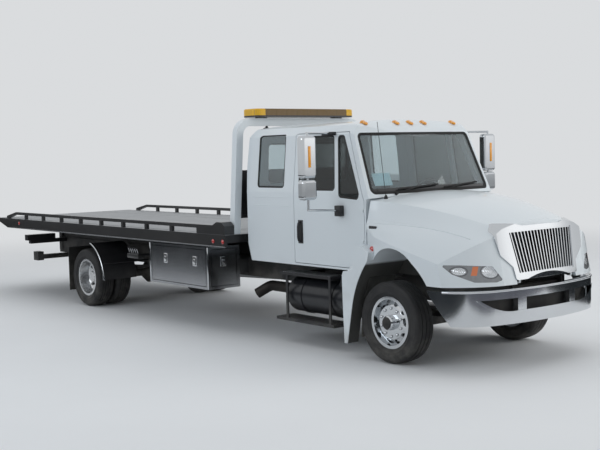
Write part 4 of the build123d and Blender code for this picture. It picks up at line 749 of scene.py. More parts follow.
# %% Nuts
NUT_SECTION = [
    # share of the height, share of the half width
    (0.0, 1.0), (0.55, 1.0), (0.75, 0.80), (1.0, 0.35), (1.0, 0.0), (0.0, 0.0),
]


def nut(shape, place, along, across=0.017, tall=0.020):
    """Hexagonal nut with a domed cap, standing on a face."""
    section = [(tall * rise, across * half) for rise, half in NUT_SECTION]
    turned(shape, section, place, along, 6)


print("shapes ready")

# %% [markdown]
# ## Tyres
#
# The solids carry a plain tyre. The real ones are steer tyres with four ribs in front and twin
# drive tyres with lugged shoulders behind. A tyre is the same all the way round, so a section is
# turned about the axle, and for the lugs every third step of the turn sits lower at the shoulder.

# %% Tyre sections
CROWN = 0.4168
TREAD_HALF = 0.0990
SHOULDER_FALL = 0.0064
GROOVE_DEPTH = 0.011
GROOVE_HALF = 0.0050
GROOVE_FOOT = 0.7
LUG_FALL = 0.007
LUG_EVERY = 3
TYRE_WALL = [
    # half width, radius, from the bead to the shoulder
    (0.0907, 0.2463), (0.0907, 0.2657), (0.1003, 0.2722), (0.1120, 0.2880), (0.1190, 0.3030),
    (0.1222, 0.3060), (0.1224, 0.3100), (0.1208, 0.3130), (0.1222, 0.3400), (0.1224, 0.3560),
    (0.1208, 0.3700), (0.1225, 0.3740), (0.1215, 0.3800), (0.1160, 0.3935), (0.1070, 0.4040),
]


def crown(width):
    """Radius of the tread at a distance from the tyre's middle."""
    return CROWN - SHOULDER_FALL * (width / TREAD_HALF) ** 2


def tyre_profile(grooves):
    """Closed section of one tyre with grooves at the given distances from its middle."""
    tread = [(TREAD_HALF, crown(TREAD_HALF))]
    for middle in sorted(grooves, reverse=True):
        for way in (1, -1):
            lip, foot = middle + way * GROOVE_HALF, middle + way * GROOVE_HALF * GROOVE_FOOT
            pair = [(lip, crown(lip)), (foot, crown(foot) - GROOVE_DEPTH)]
            tread += pair if way > 0 else pair[::-1]
    tread.append((-TREAD_HALF, crown(TREAD_HALF)))
    return TYRE_WALL + tread + [(-width, radius) for width, radius in reversed(TYRE_WALL)]


steer_profile = tyre_profile((-0.052, 0.0, 0.052))
drive_profile = tyre_profile((-0.055, -0.020, 0.020, 0.055))


def lug_dip(step, index):
    """Every third step round a drive tyre is lower at the four shoulder points."""
    edges = (len(TYRE_WALL) - 1, len(TYRE_WALL))
    mirrored = tuple(len(drive_profile) - 1 - edge for edge in edges)
    return LUG_FALL if step % LUG_EVERY == 0 and index in edges + mirrored else 0.0


print("steer section", len(steer_profile), "points, drive section", len(drive_profile))

# %% Tyres
FRONT_TYRE_Y = 0.920
TWIN_TYRE_Y = (0.787, 1.067)
STEER_STEPS = 108
DRIVE_STEPS = 132
for side_name, side in SIDES:
    shape = bmesh.new()
    turned(shape, steer_profile, (at(0.0), side * FRONT_TYRE_Y, TYRE_RADIUS), steps=STEER_STEPS)
    piece = add(f"steer_tyre_{side_name}", shape, "tyre", f"front_wheel_{side_name}_body")
    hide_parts(f"front_tyre_{side_name}")
    shape = bmesh.new()
    for width in TWIN_TYRE_Y:
        middle = (at(REAR_AXLE), side * width, TYRE_RADIUS)
        turned(shape, drive_profile, middle, steps=DRIVE_STEPS, dip=lug_dip)
    piece = add(f"drive_tyres_{side_name}", shape, "tyre", f"rear_wheels_{side_name}_body")
    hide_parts(f"rear_tyres_{side_name}")
print("tyres", 2 * (1 + len(TWIN_TYRE_Y)))

# %% [markdown]
# ## Wheel nuts and hub caps
#
# Ten nuts hold each wheel. They are set on a circle, and a ray along the axle finds the face
# that each one stands on, so that the dished front and the deep rear wheel need no numbers.

# %% Nuts and caps
NUT_COUNT = 10
NUT_CIRCLE = 0.1425
NUT_SUNK = 0.002
WHEELS = {"front_wheel": 0.0, "rear_wheels": REAR_AXLE}
HUB_FACE_Y = 1.060
HUB_BOLTS = (6, 0.050)
HUB_CAP = [
    (0.0, 0.0), (0.0, 0.060), (0.004, 0.062), (0.010, 0.058), (0.016, 0.044), (0.018, 0.018),
    (0.018, 0.0),
]
for wheel, station in WHEELS.items():
    for side_name, side in SIDES:
        shape = bmesh.new()
        for x, z in circle(NUT_COUNT, NUT_CIRCLE, 0.5):
            face = on_flank(f"{wheel}_{side_name}", side, station + x, TYRE_RADIUS + z)
            nut(shape, face - Vector((0, side * NUT_SUNK, 0)), (0, side, 0))
        add(f"{wheel}_nuts_{side_name}", shape, "chrome", f"{wheel}_{side_name}_body")
for side_name, side in SIDES:
    shape = bmesh.new()
    place = (at(0.0), side * (HUB_FACE_Y - 0.002), TYRE_RADIUS)
    turned(shape, HUB_CAP, place, (0, side, 0), 40)
    for x, z in circle(*HUB_BOLTS):
        spot = (at(0.0) + x, side * (HUB_FACE_Y + 0.007), TYRE_RADIUS + z)
        nut(shape, spot, (0, side, 0), 0.006, 0.006)
    add(f"hub_cap_{side_name}", shape, "cast", f"front_wheel_{side_name}_body")
print("nuts", 2 * len(WHEELS) * NUT_COUNT)

# %% [markdown]
# ## Window rubbers
#
# Every pane is held by a black rubber. Its route is already there: the outer edge of the glass.
# The pane's outward faces are picked out, the edges that bound them make one closed loop, and a
# flattened tube along that loop is the rubber. Faces are walked in the mesh's own order, so the
# loop starts at the same point in every run.

# %% Finding the edges of the glass
CAB_MIDDLE = Vector((at(-1.45), 0.0, 1.9))
OUTWARD = 0.75


def islands(shape):
    """Groups of faces that hang together."""
    loose = dict.fromkeys(shape.faces)
    while loose:
        group = [loose.popitem()[0]]
        for face in group:  # the list grows while it is walked
            for edge in face.edges:
                for other in edge.link_faces:
                    if other in loose:
                        del loose[other]
                        group.append(other)
        yield group


def outline(faces):
    """Points round the edge of a patch of faces, in order."""
    edges_of = {}
    for face in faces:
        for edge in face.edges:
            if sum(other in faces for other in edge.link_faces) == 1:
                for vertex in edge.verts:
                    edges_of.setdefault(vertex, []).append(edge)
    start = next(iter(edges_of))
    loop, edge = [start], edges_of[start][0]
    while edge.other_vert(loop[-1]) is not start:
        loop.append(edge.other_vert(loop[-1]))
        edge = next(other for other in edges_of[loop[-1]] if other is not edge)
    return [vertex.co.copy() for vertex in loop]


def pane_loops(node):
    """Closed outer edge and outward direction of each pane in a solid."""
    shape = bmesh.new()
    shape.from_mesh(nodes[node].data)
    bmesh.ops.remove_doubles(shape, verts=shape.verts, dist=1e-5)
    found = []
    for group in islands(shape):
        middle = sum((face.calc_center_median() * face.calc_area() for face in group), Vector())
        middle /= sum(face.calc_area() for face in group)
        facing = [face for face in group if face.normal.dot(middle - CAB_MIDDLE) > 0]
        out = sum((face.normal * face.calc_area() for face in facing), Vector()).normalized()
        outer = dict.fromkeys(face for face in group if face.normal.dot(out) > OUTWARD)
        found.append((outline(outer), out))
    shape.free()
    return found


def evenly(loop, step):
    """The same closed loop with a point about every step, so that its corners turn smoothly."""
    spaced = []
    for near, far in zip(loop, loop[1:] + loop[:1]):
        pieces = max(1, round((far - near).length / step))
        spaced += [near.lerp(far, share / pieces) for share in range(pieces)]
    return spaced


print("panes in the cab glass", len(pane_loops("cab_glass")))

# %% Rubbers
RUBBER_HALF = 0.013
SCREEN_RUBBER_HALF = 0.026
RUBBER_HALF_THICKNESS = 0.007
RUBBER_LIFT = 0.004
RUBBER_STEP = 0.03
FACES_AHEAD = 0.6
for node, body in (("cab_glass", "chassis"), ("door_glass_right", "door_right_body"),
                   ("door_glass_left", "door_left_body")):
    shape = bmesh.new()
    for loop, out in pane_loops(node):
        centre = sum(loop, Vector()) / len(loop)
        half = SCREEN_RUBBER_HALF if out.x > FACES_AHEAD else RUBBER_HALF
        route = [
            point + out * RUBBER_LIFT + (centre - point).normalized() * half * 0.5
            for point in evenly(loop, RUBBER_STEP)
        ]
        tube(shape, route, half, closed=True, flat=RUBBER_HALF_THICKNESS / half, out=out)
    add(f"{node}_rubber", shape, "rubber", body)
print("window rubbers done")

# %% [markdown]
# ## Seats
#
# Two sprung seats stand behind the windshield. A seat is foam under cloth, so it has no flat
# face: the cushion crowns in the middle, its sides pull in, and sewn channels cross it. A block
# with many points is rounded first, then crowned, and its channels are pressed in.

# %% A cushion
CUSHION_CUTS = 17
CUSHION_ROUND = 0.045
CUSHION_CROWN = 0.014
CHANNEL_HALF = 0.05
CHANNEL_DEPTH = 0.012
SIDE_PULL = 0.02


def cushion(xs, ys, zs, thin, channels, across, turn):
    """Rounded and crowned pad; channels are pressed in at shares of the axis across."""
    low, high = (Vector(corner) for corner in zip(xs, ys, zs))
    half = (high - low) / 2
    middle = (low + high) / 2
    shape = bmesh.new()
    bmesh.ops.create_cube(shape, size=2.0)
    bmesh.ops.subdivide_edges(shape, edges=shape.edges[:], cuts=CUSHION_CUTS, use_grid_fill=True)
    wide, long = [axis for axis in range(3) if axis != thin]
    core_half = [extent - CUSHION_ROUND for extent in half]
    for vertex in shape.verts:
        unit = vertex.co.copy()
        point = Vector([unit[axis] * half[axis] for axis in range(3)])
        core = Vector([max(-most, min(most, reach)) for most, reach in zip(core_half, point)])
        if (point - core).length > 1e-9:
            point = core + (point - core).normalized() * CUSHION_ROUND
        swell = (1 - unit[wide] ** 2) * (1 - unit[long] ** 2)
        press = sum(exp(-((unit[across] - share) / CHANNEL_HALF) ** 2) for share in channels)
        flat_top = 1 - max(abs(unit[wide]), abs(unit[long])) ** 8
        lift = swell * CUSHION_CROWN - press * CHANNEL_DEPTH * flat_top
        point[thin] += (1 if unit[thin] > 0 else -1) * lift * abs(unit[thin])
        for axis, other in ((wide, long), (long, wide)):
            point[axis] *= 1 - SIDE_PULL * (1 - unit[other] ** 2) * abs(unit[axis])
        vertex.co = middle + ((turn @ point) if turn else point)
    return shape


print("cushion maker ready")

# %% Seats
SEAT_Y = 0.430
SEAT_HALF = 0.235
SEAT_LEAN = Matrix.Rotation(radians(-9), 3, "Y")
SEAT_BASE = [
    # stations, inset of the sides, heights, softness
    ((-1.70, -1.18), 0.07, (0.95, 1.17), 0.02),
    ((-1.75, -1.13), 0.03, (1.16, 1.215), 0.015),
]
SEAT_PADS = [
    # name, stations, inset, heights, thin axis, channels and the axis across them, lean
    ("seat_cushion", (-1.72, -1.12), 0.0, (1.205, 1.335), 2, (-0.55, 0.55), 1, None),
    ("seat_back", (-1.770, -1.640), 0.01, (1.300, 1.830), 0, (-0.55, 0.0, 0.55), 2, SEAT_LEAN),
]


def seat_block(side, stations, inset, heights):
    """The two X, two Y and two Z of one block of a seat."""
    near, far = around(side * SEAT_Y, SEAT_HALF)
    return places(stations), (near + inset, far - inset), heights


for side_name, side in SIDES:
    shape = bmesh.new()
    for stations, inset, heights, soft in SEAT_BASE:
        bar(shape, *seat_block(side, stations, inset, heights), soft)
    base = add(f"seat_base_{side_name}", shape, "trim")
    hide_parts("seats")
    for part, stations, inset, heights, *pad_shape in SEAT_PADS:
        shape = cushion(*seat_block(side, stations, inset, heights), *pad_shape)
        pad = add(f"{part}_{side_name}", shape, "cloth")
print("seats done")

# %% [markdown]
# ## Hood lines and marker lights
#
# A pressed line runs along each side of the hood from the cab to the grille. Near the door a short
# dark bar sits under the line and a red marker light lower down. Rays from the side put the line
# on the hood's skin, and a thin white tube laid half into the skin reads as the pressing.

# %% Hood lines
HOOD_LINE = [
    # station, height of the pressed line
    (-0.235, 1.404), (-0.10, 1.403), (0.05, 1.400), (0.20, 1.392), (0.35, 1.381), (0.50, 1.364),
    (0.65, 1.341), (0.80, 1.309), (0.90, 1.282),
]
HOOD_BAR = [(-0.305 + 0.014 * step, 1.362) for step in range(10)]
for side_name, side in SIDES:
    shape = bmesh.new()
    tube(shape, [on_flank("hood", side, *spot, 0.0005) for spot in HOOD_LINE], 0.0045, 8)
    add(f"hood_line_{side_name}", shape, "white", "hood_body")
    shape = bmesh.new()
    strip = [on_flank("hood", side, *spot, 0.002) for spot in HOOD_BAR]
    tube(shape, strip, 0.016, 8, flat=0.3, out=(0, side, 0))
    add(f"hood_bar_{side_name}", shape, "trim", "hood_body")
print("hood line ends at", on_flank("hood", -1, *HOOD_LINE[-1]))

# %% Side markers
MARKER = (-0.232, 1.142)
MARKER_DOME = [(0.0, 0.0), (-0.004, 0.034), (0.006, 0.034), (0.016, 0.024), (0.020, 0.0)]
for side_name, side in SIDES:
    spot = on_flank("hood", side, *MARKER)
    turned_piece(f"marker_{side_name}", MARKER_DOME, spot, (0, side, 0), 24, "red", "hood_body")
print("side markers at", MARKER)

# %% [markdown]
# ## Cab roof
#
# Five amber marker lights stand across the roof's front edge and a whip aerial leans back from
# the right rear corner of the hood. Each marker is a low teardrop: a small dome ahead of a
# bigger one.

# %% Roof markers and aerial
ROOF_MARKERS_Y = (-0.68, -0.21, 0.0, 0.21, 0.68)
ROOF_MARKER_STATION = -0.690
ROOF_MARKER_DOMES = [
    # distance ahead, radius, height
    (0.02, 0.030, 0.014), (-0.02, 0.034, 0.030),
]
for index, width in enumerate(ROOF_MARKERS_Y):
    spot, up = on_top("cab_shell", ROOF_MARKER_STATION, width)
    shape = bmesh.new()
    for forward, half, rise in ROOF_MARKER_DOMES:
        dome = [(rise * 0.6, half * 0.92), (rise, half * 0.55), (rise, 0.0)]
        dome = [(-0.004, 0.0), (-0.004, half)] + dome
        turned(shape, dome, spot + Vector((forward, 0, 0)), up, 20)
    add(f"roof_marker_{index}", shape, "amber")
AERIAL = (-0.29, -0.76)
AERIAL_TOP = 2.44
AERIAL_FOOT = [(-0.004, 0.0), (-0.004, 0.022), (0.016, 0.018), (0.040, 0.008), (0.040, 0.0)]
shape = bmesh.new()
foot, _ = on_top("hood", *AERIAL)
turned(shape, AERIAL_FOOT, foot, (0, 0, 1), 20)
tip = Vector((foot.x - 0.10, foot.y - 0.01, AERIAL_TOP))
tube(shape, [foot.lerp(tip, share / 8) for share in range(9)], 0.0028, 6)
add("aerial", shape, "rubber", "hood_body")
print("aerial foot", foot)

# %% [markdown]
# ## Windshield wipers and card
#
# Two wipers rest along the foot of the windshield and a plain pale card stands inside its lower
# right corner. Both follow the bent glass through `screen_point`.

# %% Wipers and card
WIPERS = [
    # pivot width, blade from, blade to
    (-0.600, -0.560, 0.020),
    (0.060, 0.100, 0.700),
]
PIVOT_Z = 1.692
BLADE_Z = 1.735
BLADE_RISE = 0.035
BLADE_STEPS = 10
PIVOT = [(-0.012, 0.0), (-0.012, 0.017), (0.016, 0.014), (0.020, 0.0)]
ARM = [
    # share of the way from pivot to blade, distance off the glass
    (0.0, 0.0), (0.35, 0.020), (0.8, 0.016), (1.0, 0.006),
]
shape = bmesh.new()
for pivot, first, last in WIPERS:
    blade = [
        screen_point(first + (last - first) * step / BLADE_STEPS,
                     BLADE_Z + BLADE_RISE * step / BLADE_STEPS, 0.010)
        for step in range(BLADE_STEPS + 1)
    ]
    tube(shape, blade, 0.009, 8, flat=0.6, out=SCREEN_OUT)
    start = screen_point(pivot, PIVOT_Z, 0.012)
    middle = blade[BLADE_STEPS // 2]
    tube(shape, [start.lerp(middle, share) + SCREEN_OUT * off for share, off in ARM], 0.007, 8)
    turned(shape, PIVOT, start, SCREEN_OUT, 16)
add("wipers", shape, "rubber")
CARD_Y = (-0.800, -0.575)
CARD_Z = (1.775, 1.905)
CARD_INSIDE = -0.030
CARD_THICK = 0.002
corners = [
    screen_point(y, z, CARD_INSIDE)
    for y, z in zip((*CARD_Y, *reversed(CARD_Y)), (CARD_Z[0], CARD_Z[0], CARD_Z[1], CARD_Z[1]))
]
shape = bmesh.new()
wrap(shape, [
    [shape.verts.new(corner - SCREEN_OUT * depth) for corner in corners]
    for depth in (0.0, CARD_THICK)
])
add("windshield_card", shape, "card")
print("wipers", len(WIPERS))

# %% [markdown]
# ## Doors
#
# Each door has an upright dark pull handle by its rear edge. Under the rear side window the cab
# wall has two shallow pressed lines, which are half-sunk white tubes like the hood's.

# %% Door handles and pressed lines
HANDLE = -1.475
HANDLE_Z = (1.135, 1.395)
HANDLE_HALF = 0.043
HANDLE_THICK = 0.004
HANDLE_END = [
    # distance from the plate's end, distance off the door
    (0.02, 0.004), (0.035, 0.030), (0.07, 0.038),
]
CAB_LINES_Z = (1.640, 1.545)
CAB_LINE = [-2.36 + 0.68 * step / 8 for step in range(9)]
for side_name, side in SIDES:
    low, high = HANDLE_Z
    wall = on_flank(f"door_{side_name}", side, HANDLE, (low + high) / 2).y
    shape = bmesh.new()
    bar(shape, around(at(HANDLE), HANDLE_HALF), around(wall, HANDLE_THICK), HANDLE_Z)
    route = [(low + rise, out) for rise, out in HANDLE_END]
    route += [(high - fall, out) for fall, out in reversed(HANDLE_END)]
    tube(shape, [(at(HANDLE), wall + side * out, height) for height, out in route], 0.013, 12)
    add(f"door_handle_{side_name}", shape, "trim", f"door_{side_name}_body")
    shape = bmesh.new()
    for height in CAB_LINES_Z:
        skin = side * (cab_side(height) + 0.0005)
        tube(shape, [(at(station), skin, height) for station in CAB_LINE], 0.004, 8)
    add(f"cab_lines_{side_name}", shape, "white")
print("door handles at station", HANDLE)

# %% [markdown]
# ## Mirrors
#
# The mirror heads are chrome. Their rear faces hold the mirror glass, the front of the upper head
# carries an upright amber lamp, and black moulded feet cover the arms' ends on the door.

# %% Mirror glass and lamps
MIRROR = (-0.780, 1.395)
MIRROR_PANES = ((1.888, 2.297), (1.665, 1.847))
PANE_HALF = 0.080
PANE_X = (at(MIRROR[0]) - 0.0445, at(MIRROR[0]) - 0.0405)
MIRROR_LAMP_Y = MIRROR[1] + 0.006
MIRROR_LAMP_HALF = 0.017
MIRROR_LAMP_X = (at(MIRROR[0]) + 0.036, at(MIRROR[0]) + 0.047)
MIRROR_LAMP_Z = (1.985, 2.205)
MIRROR_FEET = [
    # stations, distances from the middle, heights
    ((-0.824, -0.736), (0.947, 1.009), (1.461, 1.574)),
    ((-1.060, -0.900), (0.888, 0.964), (2.316, 2.354)),
]
for side_name, side in SIDES:
    door = f"door_{side_name}_body"
    shape = bmesh.new()
    for heights in MIRROR_PANES:
        bar(shape, PANE_X, around(side * MIRROR[1], PANE_HALF), heights, 0.0015)
    add(f"mirror_glass_{side_name}", shape, "rod", door, "glass")
    shape = bmesh.new()
    lamp_ys = around(side * MIRROR_LAMP_Y, MIRROR_LAMP_HALF)
    bar(shape, MIRROR_LAMP_X, lamp_ys, MIRROR_LAMP_Z, 0.004)
    add(f"mirror_lamp_{side_name}", shape, "amber", door)
    shape = bmesh.new()
    for stations, widths, heights in MIRROR_FEET:
        bar(shape, places(stations), span(side, *widths), heights, 0.006)
    add(f"mirror_feet_{side_name}", shape, "trim", door)
print("mirror panes", 2 * len(MIRROR_PANES))

# %% [markdown]
# ## Toolboxes
#
# The polished toolboxes have drop-down doors on paddle latches and a small door on their front
# end with one latch more. A latch is a bright flange round a dark recess with a paddle in it.
# Bright angle trim covers the box's upright corners.

# %% Latches and corner trim
BOX_STATIONS = (-4.380, -3.015)
BOX_Z = (0.504, 1.018)
BOX_EDGE_Y = 1.162
TRIM_SKIN = 0.0025
TRIM_REACH = 0.018
LATCH_STATIONS = (-3.985, -3.310)
LATCH_Z = 0.835
END_LATCH = (-2.0, 0.94)


def slab(shape, spot, out, half, rise, low, high, soft=0.002):
    """Upright bar on a face: half width, half height, and where it starts and ends off the face."""
    across = Vector((abs(out[1]), abs(out[0]), 0.0)) * half + Vector((0, 0, rise))
    ends = (spot + Vector(out) * low, spot + Vector(out) * high)
    lowest = [min(end[axis] for end in ends) - across[axis] for axis in range(3)]
    highest = [max(end[axis] for end in ends) + across[axis] for axis in range(3)]
    bar(shape, *zip(lowest, highest), soft)


def latch(bright, dark, spot, out):
    """Paddle latch on a face: a bright flange round a dark recess with a bright paddle in it."""
    slab(bright, spot, out, 0.042, 0.062, -0.001, 0.005)
    slab(dark, spot, out, 0.030, 0.050, 0.004, 0.0062, 0.001)
    slab(bright, spot - Vector((0, 0, 0.006)), out, 0.024, 0.036, 0.005, 0.014, 0.005)


for side_name, side in SIDES:
    beside = [(at(station), side * BESIDE) for station in LATCH_STATIONS]
    ahead = [(at(END_LATCH[0]), side * END_LATCH[1])]
    for label, door, spots, out in (
        ("latch", f"toolbox_door_{side_name}", beside, (0, side, 0)),
        ("end_latch", f"toolbox_end_door_{side_name}", ahead, (1, 0, 0)),
    ):
        bright, dark = bmesh.new(), bmesh.new()
        for x, y in spots:
            spot, _ = land(door, (x, y, LATCH_Z), -Vector(out))
            latch(bright, dark, spot, out)
        add(f"{label}_bright_{side_name}", bright, "wheel", f"{door}_body")
        add(f"{label}_recess_{side_name}", dark, "trim", f"{door}_body")
    shape = bmesh.new()
    ys = span(side, BOX_EDGE_Y - 0.001, BOX_EDGE_Y + TRIM_SKIN)
    for station, way in zip(BOX_STATIONS, (1, -1)):
        xs = sorted((at(station) - way * TRIM_SKIN, at(station) + way * TRIM_REACH))
        bar(shape, xs, ys, BOX_Z, 0.0008)
    add(f"box_trim_{side_name}", shape, "chrome")
print("latches", 2 * (len(LATCH_STATIONS) + 1))

# %% [markdown]
# ## Bed edges, marker lights and levers
#
# The bed's sides end in a pale rolled lip. Small red lights sit at its front corners and near its
# tail, and behind the right toolbox a rack of control levers stands in reach under the bed.

# %% Bed lip and lights
LIP_Z = 1.052
LIP_HALF = 0.007
LIP_STATIONS = (-8.700, -2.540)
BED_LIGHTS = ((-2.590, 1.115), (-2.790, 1.115), (-8.300, 1.130))
BED_DOME = [(-0.003, 0.0), (-0.003, 0.026), (0.004, 0.026), (0.010, 0.018), (0.013, 0.0)]
for side_name, side in SIDES:
    shape = bmesh.new()
    ys = span(side, BED_HALF_WIDTH - 0.004, BED_HALF_WIDTH + 0.003)
    bar(shape, places(LIP_STATIONS), ys, around(LIP_Z, LIP_HALF), 0.001)
    add(f"bed_lip_{side_name}", shape, "polished", "bed")
    for index, (station, height) in enumerate(BED_LIGHTS):
        spot = (at(station), side * BED_HALF_WIDTH, height)
        turned_piece(
            f"bed_light_{side_name}_{index}", BED_DOME, spot, (0, side, 0), 24, "red", "bed"
        )
print("bed lights", 2 * len(BED_LIGHTS))

# %% Control levers
RACK_X = at(-4.930)
RACK_Y = -1.060
RACK_HALF = (0.150, 0.050)
RACK_Z = (0.765, 0.830)
ARM_HALF = 0.020
ARM_Z = (0.780, 0.815)
LEVER_COUNT = 5
LEVER_GAP = 0.055
LEVER_RISE = Vector((0.0, -0.030, 0.082))
KNOB = [(-0.012, 0.0), (-0.010, 0.007), (0.0, 0.011), (0.010, 0.009), (0.014, 0.0)]
shape = bmesh.new()
rail_face = land("chassis_frame", (RACK_X, -0.9, 0.80), (0, 1, 0))[0].y
bar(shape, around(RACK_X, ARM_HALF), (RACK_Y, rail_face + 0.002), ARM_Z, 0.004)
bar(shape, around(RACK_X, RACK_HALF[0]), around(RACK_Y, RACK_HALF[1]), RACK_Z, 0.008)
add("lever_rack", shape, "black")
shape, knobs = bmesh.new(), bmesh.new()
for index in range(LEVER_COUNT):
    aside = (index - LEVER_COUNT // 2) * LEVER_GAP
    foot = Vector((RACK_X + aside, RACK_Y - 0.020, RACK_Z[1] - 0.004))
    tip = foot + LEVER_RISE
    tube(shape, [foot, foot.lerp(tip, 0.5), tip], 0.0045, 8)
    turned(knobs, KNOB, tip, tip - foot, 14)
add("levers", shape, "rod", slot="steel")
add("lever_knobs", knobs, "trim")
print("levers", LEVER_COUNT)

# %% [markdown]
# ## Hoop and winch
#
# Two small work lamps hang under the hoop's cross tube, facing back over the deck. The winch has
# a motor cap at one end and bolts on its right cheek.

# %% Work lamps
WORK_LAMP_Y = 0.520
WORK_LAMP_DROP = 0.048
WORK_LAMP_WAY = (-1, 0, -0.35)
LAMP_SHELL = [
    (-0.030, 0.0), (-0.030, 0.018), (-0.016, 0.034), (0.022, 0.038), (0.028, 0.038),
    (0.028, 0.034), (0.020, 0.032), (0.020, 0.0),
]
LAMP_LENS = [(0.0195, 0.0), (0.0195, 0.0325), (0.024, 0.030), (0.027, 0.0)]
for side_name, side in SIDES:
    under = land("hoop", (at(HOOP), side * WORK_LAMP_Y, 2.0), (0, 0, 1))[0].z
    shape = bmesh.new()
    spot = Vector((at(HOOP), side * WORK_LAMP_Y, under - WORK_LAMP_DROP))
    stem = (spot.z + 0.02, under + 0.002)
    bar(shape, around(spot.x, 0.012), around(spot.y, 0.010), stem, 0.002)
    turned(shape, LAMP_SHELL, spot, WORK_LAMP_WAY, 28)
    add(f"work_lamp_{side_name}", shape, "trim", "bed")
    lens = f"work_lamp_lens_{side_name}"
    turned_piece(lens, LAMP_LENS, spot, WORK_LAMP_WAY, 28, "clear", "bed", "lens")
print("work lamps at width", WORK_LAMP_Y)

# %% Winch fittings
WINCH = (-2.920, 1.345)
MOTOR_Y = 0.330
MOTOR_CAP = [(-0.002, 0.0), (-0.002, 0.050), (0.010, 0.050), (0.016, 0.040), (0.016, 0.0)]
CHEEK_Y = -0.214
shape = bmesh.new()
turned(shape, MOTOR_CAP, (at(WINCH[0]), MOTOR_Y, WINCH[1]), (0, 1, 0), 32)
for x, z in circle(6):
    spot = (at(WINCH[0]) + 0.055 * x, CHEEK_Y, WINCH[1] - 0.010 + 0.045 * z)
    nut(shape, spot, (0, -1, 0), 0.010, 0.009)
add("winch_fittings", shape, "steel", "bed")
print("winch fittings done")

# %% [markdown]
# ## Tail lamps
#
# Two brackets behind the mud flaps hold the tail lamps: on each side a red stop lamp, an amber
# turn lamp and a clear reversing lamp, each a ribbed lens in a rubber ring.

# %% Tail lamps
TAIL_LAMPS = {"red": 1.040, "amber": 0.900, "clear": 0.760}
TAIL_LAMP_Z = 0.890
BEHIND = -9.0
TAIL_DOME = [(-0.002, 0.0), (-0.002, 0.036), (0.006, 0.034), (0.012, 0.022), (0.014, 0.0)]
TAIL_RING = [(-0.001, 0.0355), (-0.001, 0.042), (0.006, 0.041), (0.009, 0.037)]
BACK = (-1, 0, 0)
for side_name, side in SIDES:
    for finish, width in TAIL_LAMPS.items():
        spot, _ = land("tail_beam", (at(BEHIND), side * width, TAIL_LAMP_Z), (1, 0, 0))
        turned_piece(f"tail_lamp_{finish}_{side_name}", TAIL_DOME, spot, BACK, 30, finish)
        turned_piece(f"tail_lamp_ring_{finish}_{side_name}", TAIL_RING, spot, BACK, 30, "rubber")
print("tail lamps", 2 * len(TAIL_LAMPS))

# %% [markdown]
# ## Bright edges
#
# The black quarter fenders ahead of the rear wheels have a bright rolled edge on their outer side,
# and the bumper's top edge is rolled too. Both are tubes laid along the edge; the bumper's is
# found by rays towards a point behind its middle, which meet its face all round the bow.

# %% Rolled edges
FENDER_RADIUS = 0.5305
FENDER_Y = 1.182
FENDER_SWEEP = 72
FENDER_STEPS = 18
EDGE_RADIUS = 0.013
for side_name, side in SIDES:
    turns = [radians(FENDER_SWEEP * step / FENDER_STEPS) for step in range(FENDER_STEPS + 1)]
    route = [
        (at(REAR_AXLE) + FENDER_RADIUS * cos(turn), side * FENDER_Y,
         TYRE_RADIUS + FENDER_RADIUS * sin(turn))
        for turn in turns
    ]
    shape = bmesh.new()
    tube(shape, route, EDGE_RADIUS)
    add(f"fender_edge_{side_name}", shape, "chrome")
BUMPER_HUB = Vector((at(0.300), 0.0, 0.796))
BUMPER_SWEEP = 66
BUMPER_STEPS = 22
BUMPER_PROUD = 0.007
route = []
for step in range(-BUMPER_STEPS, BUMPER_STEPS + 1):
    turn = radians(BUMPER_SWEEP * step / BUMPER_STEPS)
    out = Vector((cos(turn), sin(turn), 0.0))
    face, _ = land("front_bumper", BUMPER_HUB + out * 3.0, -out)
    route.append(face - out * (EDGE_RADIUS - BUMPER_PROUD))
shape = bmesh.new()
tube(shape, route, EDGE_RADIUS, 12)
add("bumper_top_edge", shape, "chrome")
print("bumper edge from", route[0], "to", route[-1])

# %% [markdown]
# ## Behind the bumper
#
# Dark shows through the bumper's inlets: a black sheet follows the bumper's bow behind them, its
# black painted shade for the hollow behind the bumper. It also keeps daylight from coming through
# from under the hood.

# %% Black sheet behind the inlets
DUCT_Z = (0.575, 0.735)
DUCT_BEHIND = (0.085, 0.091)
DUCT_HALF = 0.900
DUCT_STEPS = 16
BUMPER_FACE_Z = 0.770
front, rear = DUCT_BEHIND
section = [(front, DUCT_Z[0]), (front, DUCT_Z[1]), (rear, DUCT_Z[1]), (rear, DUCT_Z[0])]
shape = bmesh.new()
rings = []
for step in range(DUCT_STEPS + 1):
    width = DUCT_HALF * (2 * step / DUCT_STEPS - 1)
    face = land("front_bumper", (at(2.5), width, BUMPER_FACE_Z), BACK)[0].x
    rings.append([shape.verts.new((face - depth, width, height)) for depth, height in section])
wrap(shape, rings)
# The sheet's black is painted shade for the hollow behind the inlets.
add("inlet_shade_sheet", shape, "rubber", slot="trim")
print("duct behind the bumper")

# %% [markdown]
# ## Fuel tank and front steps
#
# The tank's filler has a bright cap and the steps have treads of raised bars.

